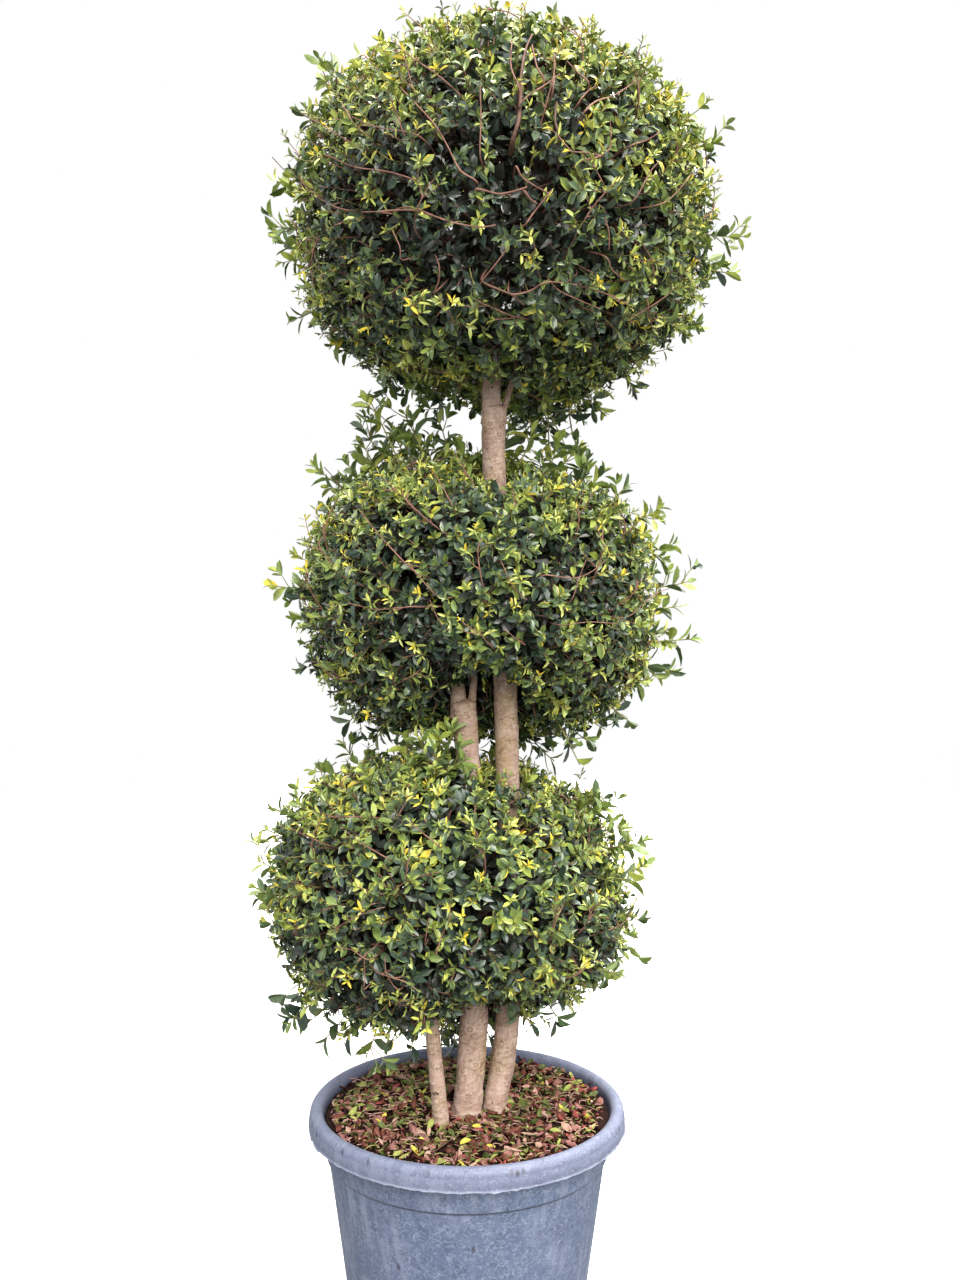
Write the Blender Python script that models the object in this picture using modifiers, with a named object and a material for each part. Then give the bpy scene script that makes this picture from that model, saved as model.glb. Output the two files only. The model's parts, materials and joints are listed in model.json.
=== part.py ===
"""A potted privet triple ball topiary: three stems in a nursery pot, each with one clipped ball of leaves.

Metres, +Z up. The origin is the centre of the pot's flat underside, +X is to the right and -Y is the front.
"""

import math
import random

import bmesh
import bpy
from mathutils import Matrix, Vector, noise

# Pot
POT_HEIGHT = 0.374
RIM_RADIUS = 0.225
RIM_INNER_RADIUS = 0.2053
RIM_ROLL_HEIGHT = 0.011
RIM_ROLL_STEPS = 5
RIM_DROP = 0.028
RIM_UNDERCUT = 0.005
BAND_DROP = 0.067
BAND_STEP = 0.003
BAND_BEVEL = 0.0015
BODY_TOP_RADIUS = 0.2078
BODY_TAPER = 0.1424
POT_WALL = 0.004
POT_FLOOR = 0.006
FOOT_ROUND = 0.006
FOOT_STEPS = 2
DRAIN_HOLES = 6
DRAIN_CIRCLE = 0.105
DRAIN_RADIUS = 0.009
DRAIN_SIDES = 10
ROUND_STEPS = 48

# Soil and the clearance that neighbours keep
SOIL_DEPTH = 0.016
GAP = 0.0003
SOIL_TOP = POT_HEIGHT - SOIL_DEPTH

# Stems, as (x, y, z, radius) along each one; the first point of each is on the soil
STEM_LINES = {
    "stem_top": (
        (0.0392, -0.008, SOIL_TOP + GAP, 0.0176),
        (0.0440, 0.000, 0.388, 0.0172),
        (0.0522, 0.008, 0.430, 0.0180),
        (0.0591, 0.005, 0.510, 0.0172),
        (0.0600, 0.000, 0.700, 0.0170),
        (0.0565, 0.000, 0.910, 0.0172),
        (0.0500, 0.000, 1.100, 0.0166),
        (0.0385, 0.000, 1.290, 0.0168),
        (0.0388, 0.000, 1.368, 0.0180),
    ),
    "stem_middle": (
        (-0.0010, -0.023, SOIL_TOP + GAP, 0.0218),
        (0.0022, -0.0165, 0.390, 0.0202),
        (0.0090, 0.000, 0.475, 0.0204),
        (0.0120, 0.000, 0.620, 0.0190),
        (0.0060, 0.000, 0.800, 0.0176),
        (-0.0015, 0.000, 0.890, 0.0174),
        (-0.0052, 0.000, 0.943, 0.0190),
    ),
    "stem_bottom": (
        (-0.0356, -0.058, SOIL_TOP + GAP, 0.0118),
        (-0.0386, -0.050, 0.390, 0.0108),
        (-0.0480, -0.031, 0.470, 0.0104),
        (-0.0500, -0.020, 0.508, 0.0100),
    ),
}
BOUGH_LINES = {
    "bough_top_main": (
        (0.0350, 0.000, 1.368 + GAP, 0.0140),
        (0.0352, 0.003, 1.405, 0.0136),
        (0.0380, 0.010, 1.452, 0.0124),
    ),
    "bough_top_side": (
        (0.0532, 0.000, 1.368 + GAP, 0.0042),
        (0.0600, 0.001, 1.392, 0.0040),
        (0.0690, 0.004, 1.430, 0.0034),
    ),
    "bough_middle_left": (
        (-0.0122, 0.000, 0.943 + GAP, 0.0116),
        (-0.0152, 0.004, 0.972, 0.0108),
        (-0.0200, 0.014, 1.006, 0.0098),
    ),
    "bough_middle_right": (
        (0.0068, 0.000, 0.943 + GAP, 0.0060),
        (0.0088, 0.003, 0.972, 0.0055),
        (0.0130, 0.010, 1.004, 0.0048),
    ),
}
SQUARE_CUT = 0.003
LINE_STEPS = 2
STEM_SIDES = 12
BOUGH_SIDES = 8

# Balls of foliage: a bump is (towards, height as a share of the radius, width in degrees),
# and a sprig is (angle seen from the front, reach as a share of the radius)
BALL_POWER = 2.6
BALLS = {
    "foliage_bottom": {
        "centre": Vector((-0.025, 0.060, 0.662)),
        "half_width": 0.273,
        "half_height": 0.200,
        "lean": 0.21,
        "seed": 11,
        "stems": ("stem_bottom",),
        "bumps": (
            ((0.75, -0.20, 0.65), -0.10, 28),
            ((-0.35, -0.10, 0.95), 0.05, 30),
            ((0.28, -0.70, -0.70), -0.26, 24),
            ((-0.75, 0.00, -0.66), -0.05, 16),
            ((0.75, 0.00, -0.66), -0.06, 16),
        ),
        "sprigs": (
            (184, 1.10), (163, 1.08), (148, 1.06), (128, 1.15), (27, 1.08), (13, 1.14),
            (0, 1.13), (-19, 1.07), (-66, 1.10), (-139, 1.16), (-144, 1.19),
        ),
    },
    "foliage_middle": {
        "centre": Vector((0.018, 0.080, 1.0965)),
        "half_width": 0.270,
        "half_height": 0.2195,
        "lean": -0.03,
        "seed": 23,
        "stems": ("bough_middle_left", "bough_middle_right"),
        "bumps": (
            ((0.10, -0.55, 0.80), -0.16, 26),
            ((0.30, 0.30, 0.92), 0.17, 24),
            ((0.05, -0.66, -0.75), -0.36, 27),
        ),
        "sprigs": (
            (185, 1.20), (176, 1.18), (141, 1.25), (119, 1.44), (103, 1.28), (80, 1.20), (57, 1.24),
            (46, 1.06), (27, 1.12), (5, 1.13), (-11, 1.16), (-21, 1.06), (-39, 1.10), (-59, 1.30),
        ),
    },
    "foliage_top": {
        "centre": Vector((0.0545, 0.050, 1.650)),
        "half_width": 0.312,
        "half_height": 0.255,
        "lean": -0.35,
        "seed": 37,
        "stems": ("bough_top_main", "bough_top_side"),
        "bumps": (
            ((0.24, 0.30, -0.92), 0.20, 18),
            ((0.66, 0.00, 0.75), -0.05, 20),
            ((0.70, 0.00, -0.72), -0.05, 16),
            ((-0.45, 0.00, -0.89), -0.05, 16),
        ),
        "sprigs": (
            (52, 1.12), (71, 1.05), (97, 1.06), (111, 1.07), (127, 1.06), (142, 1.13),
            (167, 1.14), (183, 1.10), (201, 1.12), (-1, 1.18), (-13, 1.10), (-21, 1.12),
            (15, 1.05), (30, 1.04), (-45, 1.08), (-57, 1.12), (-131, 1.08),
        ),
    },
}
CORE_DEPTH = 0.036
CORE_SUBDIVISIONS = 3
CORE_LUMP = 0.05
CORE_LUMP_SCALE = 9.0
CORE_CLEARANCE = 0.003
STUB_LENGTH = 0.06
STUB_TAPER = (0.95, 0.8)

# Twigs and leaves, larger than life so that few of them fill the outline
LEADERS = 25
BACK_SPRIGS = 5
LEADER_ROOT_SHARE = 0.62
LEADER_JITTER = 0.10
LEADER_REACH = (0.97, 1.04)
LONG_SPRIG = 1.12
FORK_AT = 0.35
FORK_ANGLE = 21
TWIG_SIDES = 3
TWIG_ROOT_RADIUS = 0.0052
TWIG_TIP_RADIUS = 0.0040
LEAF_LENGTH = 0.090
LEAF_WIDTH = 0.048
LEAF_THICKNESS = 0.0052
LEAF_WIDEST_AT = 0.42
LEAF_ROOT_OFFSET = 0.0008
LEAF_ANGLE = 56
LEAF_PAIR_SPACING = 0.042
TIP_LEAF_SCALE = 0.66
TIP_LEAF_SINK = 0.009
LIMB_CLEARANCE = 0.006
NEIGHBOUR_SHARE = 1.02
NEIGHBOUR_CLEARANCE = 0.004
CROWDING_SHARE = 0.5
TWIG_SAMPLES = (0.33, 0.5, 0.67, 0.83, 1.0)
LEAF_SAMPLES = (0.3, 0.6, 0.9)
RIM_CLEARANCE = 0.010

GOLDEN_ANGLE = math.pi * (3 - math.sqrt(5))
SMOOTH_BELOW = math.radians(30)


def clear_scene():
    for obj in list(bpy.data.objects):
        bpy.data.objects.remove(obj, do_unlink=True)


def new_collection(name, parent=None):
    collection = bpy.data.collections.new(name)
    (parent or bpy.context.scene.collection).children.link(collection)
    return collection


def new_material(name, color, roughness):
    material = bpy.data.materials.new(name)
    material.use_nodes = True
    shader = material.node_tree.nodes["Principled BSDF"]
    shader.inputs["Base Color"].default_value = (*color, 1.0)
    shader.inputs["Roughness"].default_value = roughness
    shader.inputs["Metallic"].default_value = 0.0
    return material


def mesh_object(name, mesh, collection):
    obj = bpy.data.objects.new(name, mesh)
    collection.objects.link(obj)
    return obj


def cone_mesh(name, sides, root, tip, length):
    """A tapered stick from the origin up to its length, closed at both ends."""
    work = bmesh.new()
    bmesh.ops.create_cone(work, cap_ends=True, segments=sides, radius1=root, radius2=tip, depth=length)
    bmesh.ops.translate(work, verts=work.verts, vec=(0, 0, length / 2))
    mesh = bpy.data.meshes.new(name)
    work.to_mesh(mesh)
    work.free()
    return mesh


def evaluated_mesh(obj):
    """The object's mesh with its modifiers applied, or a curve's mesh with its caps welded."""
    bpy.context.view_layer.update()
    graph = bpy.context.evaluated_depsgraph_get()
    mesh = bpy.data.meshes.new_from_object(obj.evaluated_get(graph), depsgraph=graph)
    work = bmesh.new()
    work.from_mesh(mesh)
    bmesh.ops.remove_doubles(work, verts=work.verts, dist=1e-6)
    work.to_mesh(mesh)
    work.free()
    return mesh


# Pot and soil

def body_radius(z):
    """The pot body's outer radius at height z."""
    return BODY_TOP_RADIUS - BODY_TAPER * (POT_HEIGHT - z)


def inner_radius(z):
    return body_radius(z) - POT_WALL


def rim_arc(steps=RIM_ROLL_STEPS):
    """The rolled rim's rounded top, from its inner edge over to its outer face."""
    middle = (RIM_RADIUS + RIM_INNER_RADIUS) / 2
    half = (RIM_RADIUS - RIM_INNER_RADIUS) / 2
    base = POT_HEIGHT - RIM_ROLL_HEIGHT
    angles = [math.pi * (1 - i / steps) for i in range(steps + 1)]
    return [(middle + half * math.cos(a), base + RIM_ROLL_HEIGHT * math.sin(a)) for a in angles]


def foot_arc(steps=FOOT_STEPS):
    """The rounded edge between the pot's side and its underside."""
    radius = body_radius(0) - FOOT_ROUND
    angles = [math.pi / 2 * i / steps for i in range(steps + 1)]
    return [(radius + FOOT_ROUND * math.cos(a), FOOT_ROUND * (1 - math.sin(a))) for a in angles]


def pot_profile():
    """(radius, height) from the inside floor up the inner wall, over the rim and down the outside."""
    lip = POT_HEIGHT - RIM_DROP
    band = POT_HEIGHT - BAND_DROP
    return [
        (0.0, POT_FLOOR),
        (inner_radius(POT_FLOOR), POT_FLOOR),
        (inner_radius(lip), lip),
        *rim_arc(),
        (RIM_RADIUS, lip),
        (body_radius(lip) + BAND_STEP, lip + RIM_UNDERCUT),
        (body_radius(band) + BAND_STEP, band),
        (body_radius(band), band - BAND_BEVEL),
        *foot_arc(),
        (0.0, 0.0),
    ]


def soil_profile():
    """(radius, height) of the soil, which fills the pot with a small clearance to its walls."""
    bottom = POT_FLOOR + GAP
    lip = POT_HEIGHT - RIM_DROP
    flare = (RIM_INNER_RADIUS - inner_radius(lip)) / (RIM_DROP - RIM_ROLL_HEIGHT)
    return [
        (0.0, SOIL_TOP),
        (inner_radius(lip) + flare * (SOIL_TOP - lip) - GAP, SOIL_TOP),
        (inner_radius(lip) - GAP, lip),
        (inner_radius(bottom) - GAP, bottom),
        (0.0, bottom),
    ]


def turned(name, profile, collection, material):
    """A round solid from a profile that runs down its outer side."""
    mesh = bpy.data.meshes.new(name)
    edges = [(i, i + 1) for i in range(len(profile) - 1)]
    mesh.from_pydata([(r, 0.0, z) for r, z in profile], edges, [])
    obj = mesh_object(name, mesh, collection)
    screw = obj.modifiers.new("turn", "SCREW")
    screw.axis = "Z"
    screw.angle = 2 * math.pi
    screw.steps = ROUND_STEPS
    screw.render_steps = ROUND_STEPS
    screw.use_merge_vertices = True
    screw.merge_threshold = 1e-5
    obj.data = evaluated_mesh(obj)
    obj.modifiers.clear()
    obj.data.shade_smooth()
    obj.data.set_sharp_from_angle(angle=SMOOTH_BELOW)
    obj.data.materials.append(material)
    return obj


def build_pot(parts, helpers, material):
    pot = turned("pot", pot_profile(), parts, material)
    cutters = new_collection("drain_cutters", helpers)
    for i in range(DRAIN_HOLES):
        angle = 2 * math.pi * i / DRAIN_HOLES
        hole = cone_mesh("drain", DRAIN_SIDES, DRAIN_RADIUS, DRAIN_RADIUS, 4 * POT_FLOOR)
        cutter = mesh_object("drain", hole, cutters)
        cutter.location = (DRAIN_CIRCLE * math.cos(angle), DRAIN_CIRCLE * math.sin(angle), -2 * POT_FLOOR)
        cutter.hide_render = True
        cutter.display_type = "WIRE"
    drain = pot.modifiers.new("drain", "BOOLEAN")
    drain.operation = "DIFFERENCE"
    drain.operand_type = "COLLECTION"
    drain.collection = cutters


# Stems and boughs

def between(a, b, c, d, t):
    """The value a share t of the way from b to c, on a smooth curve through all four."""
    return b + (c - a) / 2 * t + (a - 2.5 * b + 2 * c - d / 2) * t**2 + (1.5 * (b - c) + (d - a) / 2) * t**3


def smooth_line(points, steps):
    """Points along a smooth curve through the given ones, with the radius carried along too."""
    padded = [points[0], *points, points[-1]]
    line = []
    for spans in zip(padded, padded[1:], padded[2:], padded[3:]):
        for i in range(steps):
            line.append(tuple(between(*values, i / steps) for values in zip(*spans)))
    line.append(tuple(points[-1]))
    return line


def limb_line(points):
    """A limb's centreline with short upright ends, so that its cuts are level."""
    line = smooth_line(points, LINE_STEPS)
    x, y, z, radius = line[0]
    u, v, w, tip = line[-1]
    return [line[0], (x, y, z + SQUARE_CUT, radius), *line[1:-1], (u, v, w - SQUARE_CUT, tip), line[-1]]


def limb_curve(name, line, collection, sides, material=None, extra=0.0):
    curve = bpy.data.curves.new(name, "CURVE")
    curve.dimensions = "3D"
    curve.bevel_depth = 1.0
    curve.bevel_resolution = (sides - 4) // 2
    curve.use_fill_caps = True
    spline = curve.splines.new("POLY")
    spline.points.add(len(line) - 1)
    for point, (x, y, z, radius) in zip(spline.points, line):
        point.co = (x, y, z, 1.0)
        point.radius = radius + extra
    obj = bpy.data.objects.new(name, curve)
    collection.objects.link(obj)
    if material is not None:
        curve.materials.append(material)
    return obj


def build_limbs(parts, material):
    """Every stem and bough, and their centrelines by name."""
    lines = {name: limb_line(points) for name, points in {**STEM_LINES, **BOUGH_LINES}.items()}
    for name, line in lines.items():
        sides = STEM_SIDES if name in STEM_LINES else BOUGH_SIDES
        limb_curve(name, line, parts, sides, material)
    return lines


# The balls' shape

def reach(ball, direction):
    """The distance from the ball's centre to its clipped surface along a unit direction."""
    across = math.hypot(direction.x, direction.y) / ball["half_width"]
    upright = abs(direction.z) / ball["half_height"]
    radius = (across ** BALL_POWER + upright ** BALL_POWER) ** (-1 / BALL_POWER)
    for towards, height, width in ball["bumps"]:
        angle = math.degrees(direction.angle(Vector(towards)))
        radius *= 1 + height * math.exp(-((angle / width) ** 2))
    return radius


def share(ball, point):
    """How far out a point is, as a share of the ball's radius that way."""
    offset = point - ball["centre"]
    return offset.length / reach(ball, offset.normalized())


def leader_directions(rng):
    """Directions spread evenly round a ball by the golden angle, each a little off its place."""
    for i in range(LEADERS):
        z = 1 - 2 * (i + 0.5) / LEADERS
        turn = i * GOLDEN_ANGLE
        level = math.sqrt(1 - z * z)
        off = Vector([rng.uniform(-LEADER_JITTER, LEADER_JITTER) for _ in range(3)])
        yield (Vector((level * math.cos(turn), level * math.sin(turn), z)) + off).normalized()


def sprig_directions(ball, rng):
    """(direction, reach share) of the shoots that stand out: those seen from the front, then some behind."""
    for angle, far in ball["sprigs"]:
        a = math.radians(angle)
        yield Vector((math.cos(a), ball["lean"] * math.sin(a), math.sin(a))).normalized(), far
    for i in range(BACK_SPRIGS):
        turn = math.pi * (i + 0.5) / BACK_SPRIGS + rng.uniform(-0.2, 0.2)
        rise = rng.uniform(-0.5, 0.8)
        yield Vector((math.cos(turn), math.sin(turn), rise)).normalized(), rng.uniform(1.06, 1.16)


# Twigs and leaves

def dense(line, step=0.008):
    """Points closely spaced along a centreline, with the radius there."""
    for start, end in zip(line, line[1:]):
        count = max(1, math.ceil((Vector(end[:3]) - Vector(start[:3])).length / step))
        for i in range(count):
            t = i / count
            yield tuple(a + (b - a) * t for a, b in zip(start, end))
    yield line[-1]


def frame_along(direction, upward):
    """A rotation that turns X onto the direction, with Z as near to the upward one as it can be."""
    side = upward.cross(direction)
    if side.length < 1e-4:
        side = direction.orthogonal()
    side.normalize()
    return Matrix((direction, side, direction.cross(side))).transposed().to_4x4()


def turned_aside(direction, degrees, roll):
    """The direction bent by an angle, towards a side that roll picks."""
    axis = Matrix.Rotation(roll, 3, direction) @ direction.orthogonal().normalized()
    return (Matrix.Rotation(math.radians(degrees), 3, axis) @ direction).normalized()


def leaf_mesh():
    """One leaf from the origin along +X: eight faces, widest below the middle."""
    work = bmesh.new()
    bmesh.ops.create_uvsphere(work, u_segments=4, v_segments=2, radius=1.0)
    bmesh.ops.rotate(work, verts=work.verts, matrix=Matrix.Rotation(math.pi / 2, 3, "Y"))
    for vert in work.verts:
        ends = round(vert.co.x)
        along = (ends + 1) / 2 if ends else LEAF_WIDEST_AT
        vert.co = (along * LEAF_LENGTH, vert.co.y * LEAF_WIDTH / 2, vert.co.z * LEAF_THICKNESS / 2)
    mesh = bpy.data.meshes.new("leaf")
    work.to_mesh(mesh)
    work.free()
    return mesh


def leaf_places(start, end, pairs, roll):
    """(root, direction, scale) of a twig's leaves: one at its tip, then pairs, each turned a quarter."""
    along = (end - start).normalized()
    yield end - along * TIP_LEAF_SINK, along, TIP_LEAF_SCALE
    for pair in range(pairs):
        node = end - along * (TIP_LEAF_SINK / 2 + LEAF_PAIR_SPACING * pair)
        for side in (0, math.pi):
            direction = turned_aside(along, LEAF_ANGLE, roll + side + pair * math.pi / 2)
            yield node + direction * LEAF_ROOT_OFFSET, direction, 1.0


class Growth:
    """One ball's twigs and leaves, which keep to the space that the ball has to itself."""

    def __init__(self, ball, lines, taken, pieces):
        self.ball = ball
        self.rng = random.Random(ball["seed"])
        self.pieces = pieces
        self.leaf = leaf_mesh()
        self.neighbours = [other for other in BALLS.values() if other is not ball]
        self.limbs = [(Vector(point[:3]), point[3]) for line in lines.values() for point in dense(line)]
        self.taken = taken
        self.own = []

    def has_room(self, point, radius):
        """Whether a point of a twig or leaf is clear of the pot, the limbs, the other balls and its own."""
        if point.z < POT_HEIGHT + RIM_CLEARANCE:
            return False
        if any(share(other, point) < NEIGHBOUR_SHARE for other in self.neighbours):
            return False
        if any((point - limb).length < radius + thick + LIMB_CLEARANCE for limb, thick in self.limbs):
            return False
        if any((point - other).length < radius + thick + NEIGHBOUR_CLEARANCE for other, thick in self.taken):
            return False
        return all((point - other).length > (radius + thick) * CROWDING_SHARE for other, thick in self.own)

    def add_leaf(self, root, direction, scale, outward):
        facing = outward if abs(outward.dot(direction)) < 0.99 else outward.orthogonal()
        obj = mesh_object("leaf", self.leaf, self.pieces)
        obj.matrix_world = Matrix.Translation(root) @ frame_along(direction, facing) @ Matrix.Scale(scale, 4)

    def add_twig(self, start, end, pairs, roll):
        """A twig with its leaves, each skipped where it would leave the ball's own space."""
        run = end - start
        samples = [start.lerp(end, t) for t in TWIG_SAMPLES]
        if not all(self.has_room(point, TWIG_ROOT_RADIUS) for point in samples):
            return
        mesh = cone_mesh("twig", TWIG_SIDES, TWIG_ROOT_RADIUS, TWIG_TIP_RADIUS, run.length)
        obj = mesh_object("twig", mesh, self.pieces)
        obj.matrix_world = Matrix.Translation(start) @ run.to_track_quat("Z", "Y").to_matrix().to_4x4()
        grown = [(point, TWIG_ROOT_RADIUS) for point in samples]
        for root, direction, scale in leaf_places(start, end, pairs, roll):
            samples = [root + direction * LEAF_LENGTH * scale * t for t in LEAF_SAMPLES]
            half_width = LEAF_WIDTH * scale / 2
            if all(self.has_room(point, half_width) for point in samples):
                self.add_leaf(root, direction, scale, run.normalized())
                grown += [(point, half_width) for point in samples]
        self.own += grown

    def add_leader(self, direction, far, forks):
        """A leader from inside the core to the surface, which may fork into one side twig."""
        start = self.ball["centre"] + direction * reach(self.ball, direction) * LEADER_ROOT_SHARE
        end = twig_end(self.ball, direction, far)
        roll = self.rng.uniform(0, math.pi)
        aside = turned_aside(direction, FORK_ANGLE, self.rng.uniform(0, 2 * math.pi))
        aside_far = self.rng.uniform(*LEADER_REACH)
        self.add_twig(start, end, 2 if far > LONG_SPRIG else 1, roll)
        if forks:
            self.add_twig(start.lerp(end, FORK_AT), twig_end(self.ball, aside, aside_far), 1, roll + 1)


def twig_end(ball, direction, far):
    """Where a twig ends, so that its tip leaf reaches the given share of the ball's radius."""
    tip = reach(ball, direction) * far
    return ball["centre"] + direction * (tip - LEAF_LENGTH * TIP_LEAF_SCALE + TIP_LEAF_SINK)


# A ball of foliage

def core_object(ball, name, collection):
    """The dense inside of a clipped ball, a lumpy body a little smaller than its outline."""
    work = bmesh.new()
    bmesh.ops.create_icosphere(work, subdivisions=CORE_SUBDIVISIONS, radius=1.0)
    for vert in work.verts:
        direction = vert.co.normalized()
        lump = 1 + CORE_LUMP * noise.noise(direction * CORE_LUMP_SCALE + Vector((ball["seed"], 0, 0)))
        vert.co = ball["centre"] + direction * (reach(ball, direction) - CORE_DEPTH) * lump
    mesh = bpy.data.meshes.new(name)
    work.to_mesh(mesh)
    work.free()
    return mesh_object(name, mesh, collection)


def apply_boolean(obj, operation, collection, solver):
    """Joins or cuts by every object of the collection at once, then removes them."""
    modifier = obj.modifiers.new(operation.lower(), "BOOLEAN")
    modifier.operation = operation
    modifier.operand_type = "COLLECTION"
    modifier.collection = collection
    modifier.solver = solver
    mesh = evaluated_mesh(obj)
    obj.modifiers.clear()
    obj.data = mesh
    for piece in list(collection.objects):
        bpy.data.objects.remove(piece, do_unlink=True)
    bpy.data.collections.remove(collection)


def cut_clear(core, ball, lines, helpers):
    """Cuts the core clear of every limb that passes through it or ends in it."""
    cutters = new_collection("limb_cutters", helpers)
    for name, line in lines.items():
        if min(share(ball, Vector(point[:3])) for point in line) > 1:
            continue
        x, y, z, radius = line[-1]
        longer = [*line, (x, y, z + 2 * CORE_CLEARANCE, radius)]
        tube = limb_curve("cutter", longer, cutters, STEM_SIDES, extra=CORE_CLEARANCE)
        cutter = mesh_object("cutter", evaluated_mesh(tube), cutters)
        cutter.matrix_world = tube.matrix_world
        bpy.data.objects.remove(tube, do_unlink=True)
    apply_boolean(core, "DIFFERENCE", cutters, "EXACT")


def add_stubs(ball, lines, pieces):
    """The stem inside the core, which starts just clear of each bough's tip."""
    for name in ball["stems"]:
        x, y, z, radius = lines[name][-1]
        root, tip = (radius * taper for taper in STUB_TAPER)
        stub = mesh_object("stub", cone_mesh("stub", BOUGH_SIDES, root, tip, STUB_LENGTH), pieces)
        stub.location = (x, y, z + GAP)


def keep_main_body(mesh):
    """Drops loose scraps and fills sealed hollows by keeping only the largest closed surface."""
    work = bmesh.new()
    work.from_mesh(mesh)
    left = set(work.verts)
    bodies = []
    while left:
        queue = [left.pop()]
        body = set(queue)
        while queue:
            for edge in queue.pop().link_edges:
                fresh = set(edge.verts) & left
                left -= fresh
                body |= fresh
                queue += fresh
        bodies.append(body)
    bodies.sort(key=len)
    for body in bodies[:-1]:
        bmesh.ops.delete(work, geom=list(body), context="VERTS")
    bmesh.ops.triangulate(work, faces=work.faces)
    work.to_mesh(mesh)
    work.free()


def build_ball(name, ball, lines, taken, parts, helpers, material):
    """One ball: its core, cut clear of the limbs, with twigs, leaves and its stem fused on."""
    core = core_object(ball, name, parts)
    cut_clear(core, ball, lines, helpers)
    pieces = new_collection(name + "_pieces", helpers)
    growth = Growth(ball, lines, taken, pieces)
    for direction, far in sprig_directions(ball, growth.rng):
        growth.add_leader(direction, far, forks=False)
    for direction in leader_directions(growth.rng):
        growth.add_leader(direction, growth.rng.uniform(*LEADER_REACH), forks=True)
    add_stubs(ball, lines, pieces)
    apply_boolean(core, "UNION", pieces, "MANIFOLD")
    keep_main_body(core.data)
    core.data.materials.clear()
    core.data.materials.append(material)
    taken += growth.own


def main():
    clear_scene()
    parts = new_collection("ball_topiary")
    helpers = new_collection("cutters")
    plastic = new_material("grey_plastic", (0.26, 0.30, 0.38), 0.55)
    earth = new_material("bark_and_soil", (0.09, 0.045, 0.03), 0.95)
    bark = new_material("pale_bark", (0.46, 0.33, 0.24), 0.8)
    leaves = new_material("privet_leaves", (0.04, 0.10, 0.03), 0.45)
    build_pot(parts, helpers, plastic)
    turned("soil", soil_profile(), parts, earth)
    lines = build_limbs(parts, bark)
    taken = []
    for name, ball in BALLS.items():
        build_ball(name, ball, lines, taken, parts, helpers, leaves)


main()
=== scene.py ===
"""The looks of a potted privet triple ball topiary: pot, litter, barked stems, twigs and leaves.

Metres, +Z up. The origin is the centre of the pot's flat underside, +X is to the right and -Y is the front.
"""

import json
import math

import bmesh
import bpy
import numpy as np
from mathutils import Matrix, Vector, noise

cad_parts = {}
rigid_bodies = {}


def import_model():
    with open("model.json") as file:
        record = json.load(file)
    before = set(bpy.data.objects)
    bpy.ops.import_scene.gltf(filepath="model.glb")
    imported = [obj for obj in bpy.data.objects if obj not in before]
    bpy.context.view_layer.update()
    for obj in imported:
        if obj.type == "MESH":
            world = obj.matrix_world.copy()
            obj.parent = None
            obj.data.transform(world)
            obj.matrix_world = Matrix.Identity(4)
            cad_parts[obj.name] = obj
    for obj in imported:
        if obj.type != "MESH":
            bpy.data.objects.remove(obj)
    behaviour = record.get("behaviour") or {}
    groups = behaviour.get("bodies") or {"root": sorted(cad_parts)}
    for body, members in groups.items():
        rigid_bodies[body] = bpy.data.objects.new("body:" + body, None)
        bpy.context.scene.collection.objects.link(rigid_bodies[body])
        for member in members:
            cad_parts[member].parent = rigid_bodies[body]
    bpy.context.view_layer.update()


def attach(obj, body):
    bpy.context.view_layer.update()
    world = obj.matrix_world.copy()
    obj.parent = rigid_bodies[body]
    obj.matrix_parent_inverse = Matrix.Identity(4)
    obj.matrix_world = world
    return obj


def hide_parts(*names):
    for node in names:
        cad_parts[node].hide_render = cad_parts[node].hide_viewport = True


for leftover in list(bpy.data.objects):
    bpy.data.objects.remove(leftover, do_unlink=True)

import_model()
BODY = "root"

# Camera, floor and light
CAMERA_PLACE = (0.0184, -1.665, 1.036)
CAMERA_LENS = 32.44
SENSOR_WIDTH = 36.0
PHOTO_WIDTH = 960
PHOTO_HEIGHT = 1280
FLOOR_RADIUS = 7.0
FLOOR_STEPS = 128
FLOOR_COLOR = (0.95, 0.95, 0.95)
FLOOR_GLOW = 0.30
SKY_COLOR = (1.0, 1.02, 1.06)
GROUND_COLOR = (0.42, 0.42, 0.41)
SKY_STRENGTH = 1.15

# Lamps, as (way the light goes, strength, size in degrees, colour)
LAMPS = {
    "front_lamp": ((-0.32, 0.85, -0.60), 3.7, 40, (1.0, 0.96, 0.89)),
    "top_lamp": ((-0.25, -0.12, -1.00), 4.6, 14, (1.0, 0.95, 0.86)),
}

# Pot
POT_HEIGHT = 0.374
RIM_RADIUS = 0.225
RIM_INNER_RADIUS = 0.2053
RIM_ROLL_HEIGHT = 0.011
RIM_DROP = 0.028
RIM_UNDERCUT = 0.005
RIM_BULGE = 0.0012
BAND_DROP = 0.067
BAND_STEP = 0.003
BODY_TOP_RADIUS = 0.2078
BODY_TAPER = 0.1424
POT_WALL = 0.004
POT_FLOOR = 0.006
FOOT_ROUND = 0.006
DRAIN_HOLES = 6
DRAIN_CIRCLE = 0.105
DRAIN_RADIUS = 0.009
DRAIN_SIDES = 32
POT_SIDES = 240
POT_WAVE = 0.0022
FLASH_RAGGED = 0.0017
RAGGED_OUTWARD = 0.6
RAGGED_SCALES = (16, 75)
FINE_RAGGED = 1.1
WAVE_SCALE = 1.4
# Noise round the pot in the wear on its edges and the painted highlight along the rim's top
WEAR_AND_HIGHLIGHT_SCALE = 9
WEAR_AND_HIGHLIGHT_SPREAD = 0.5
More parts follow.
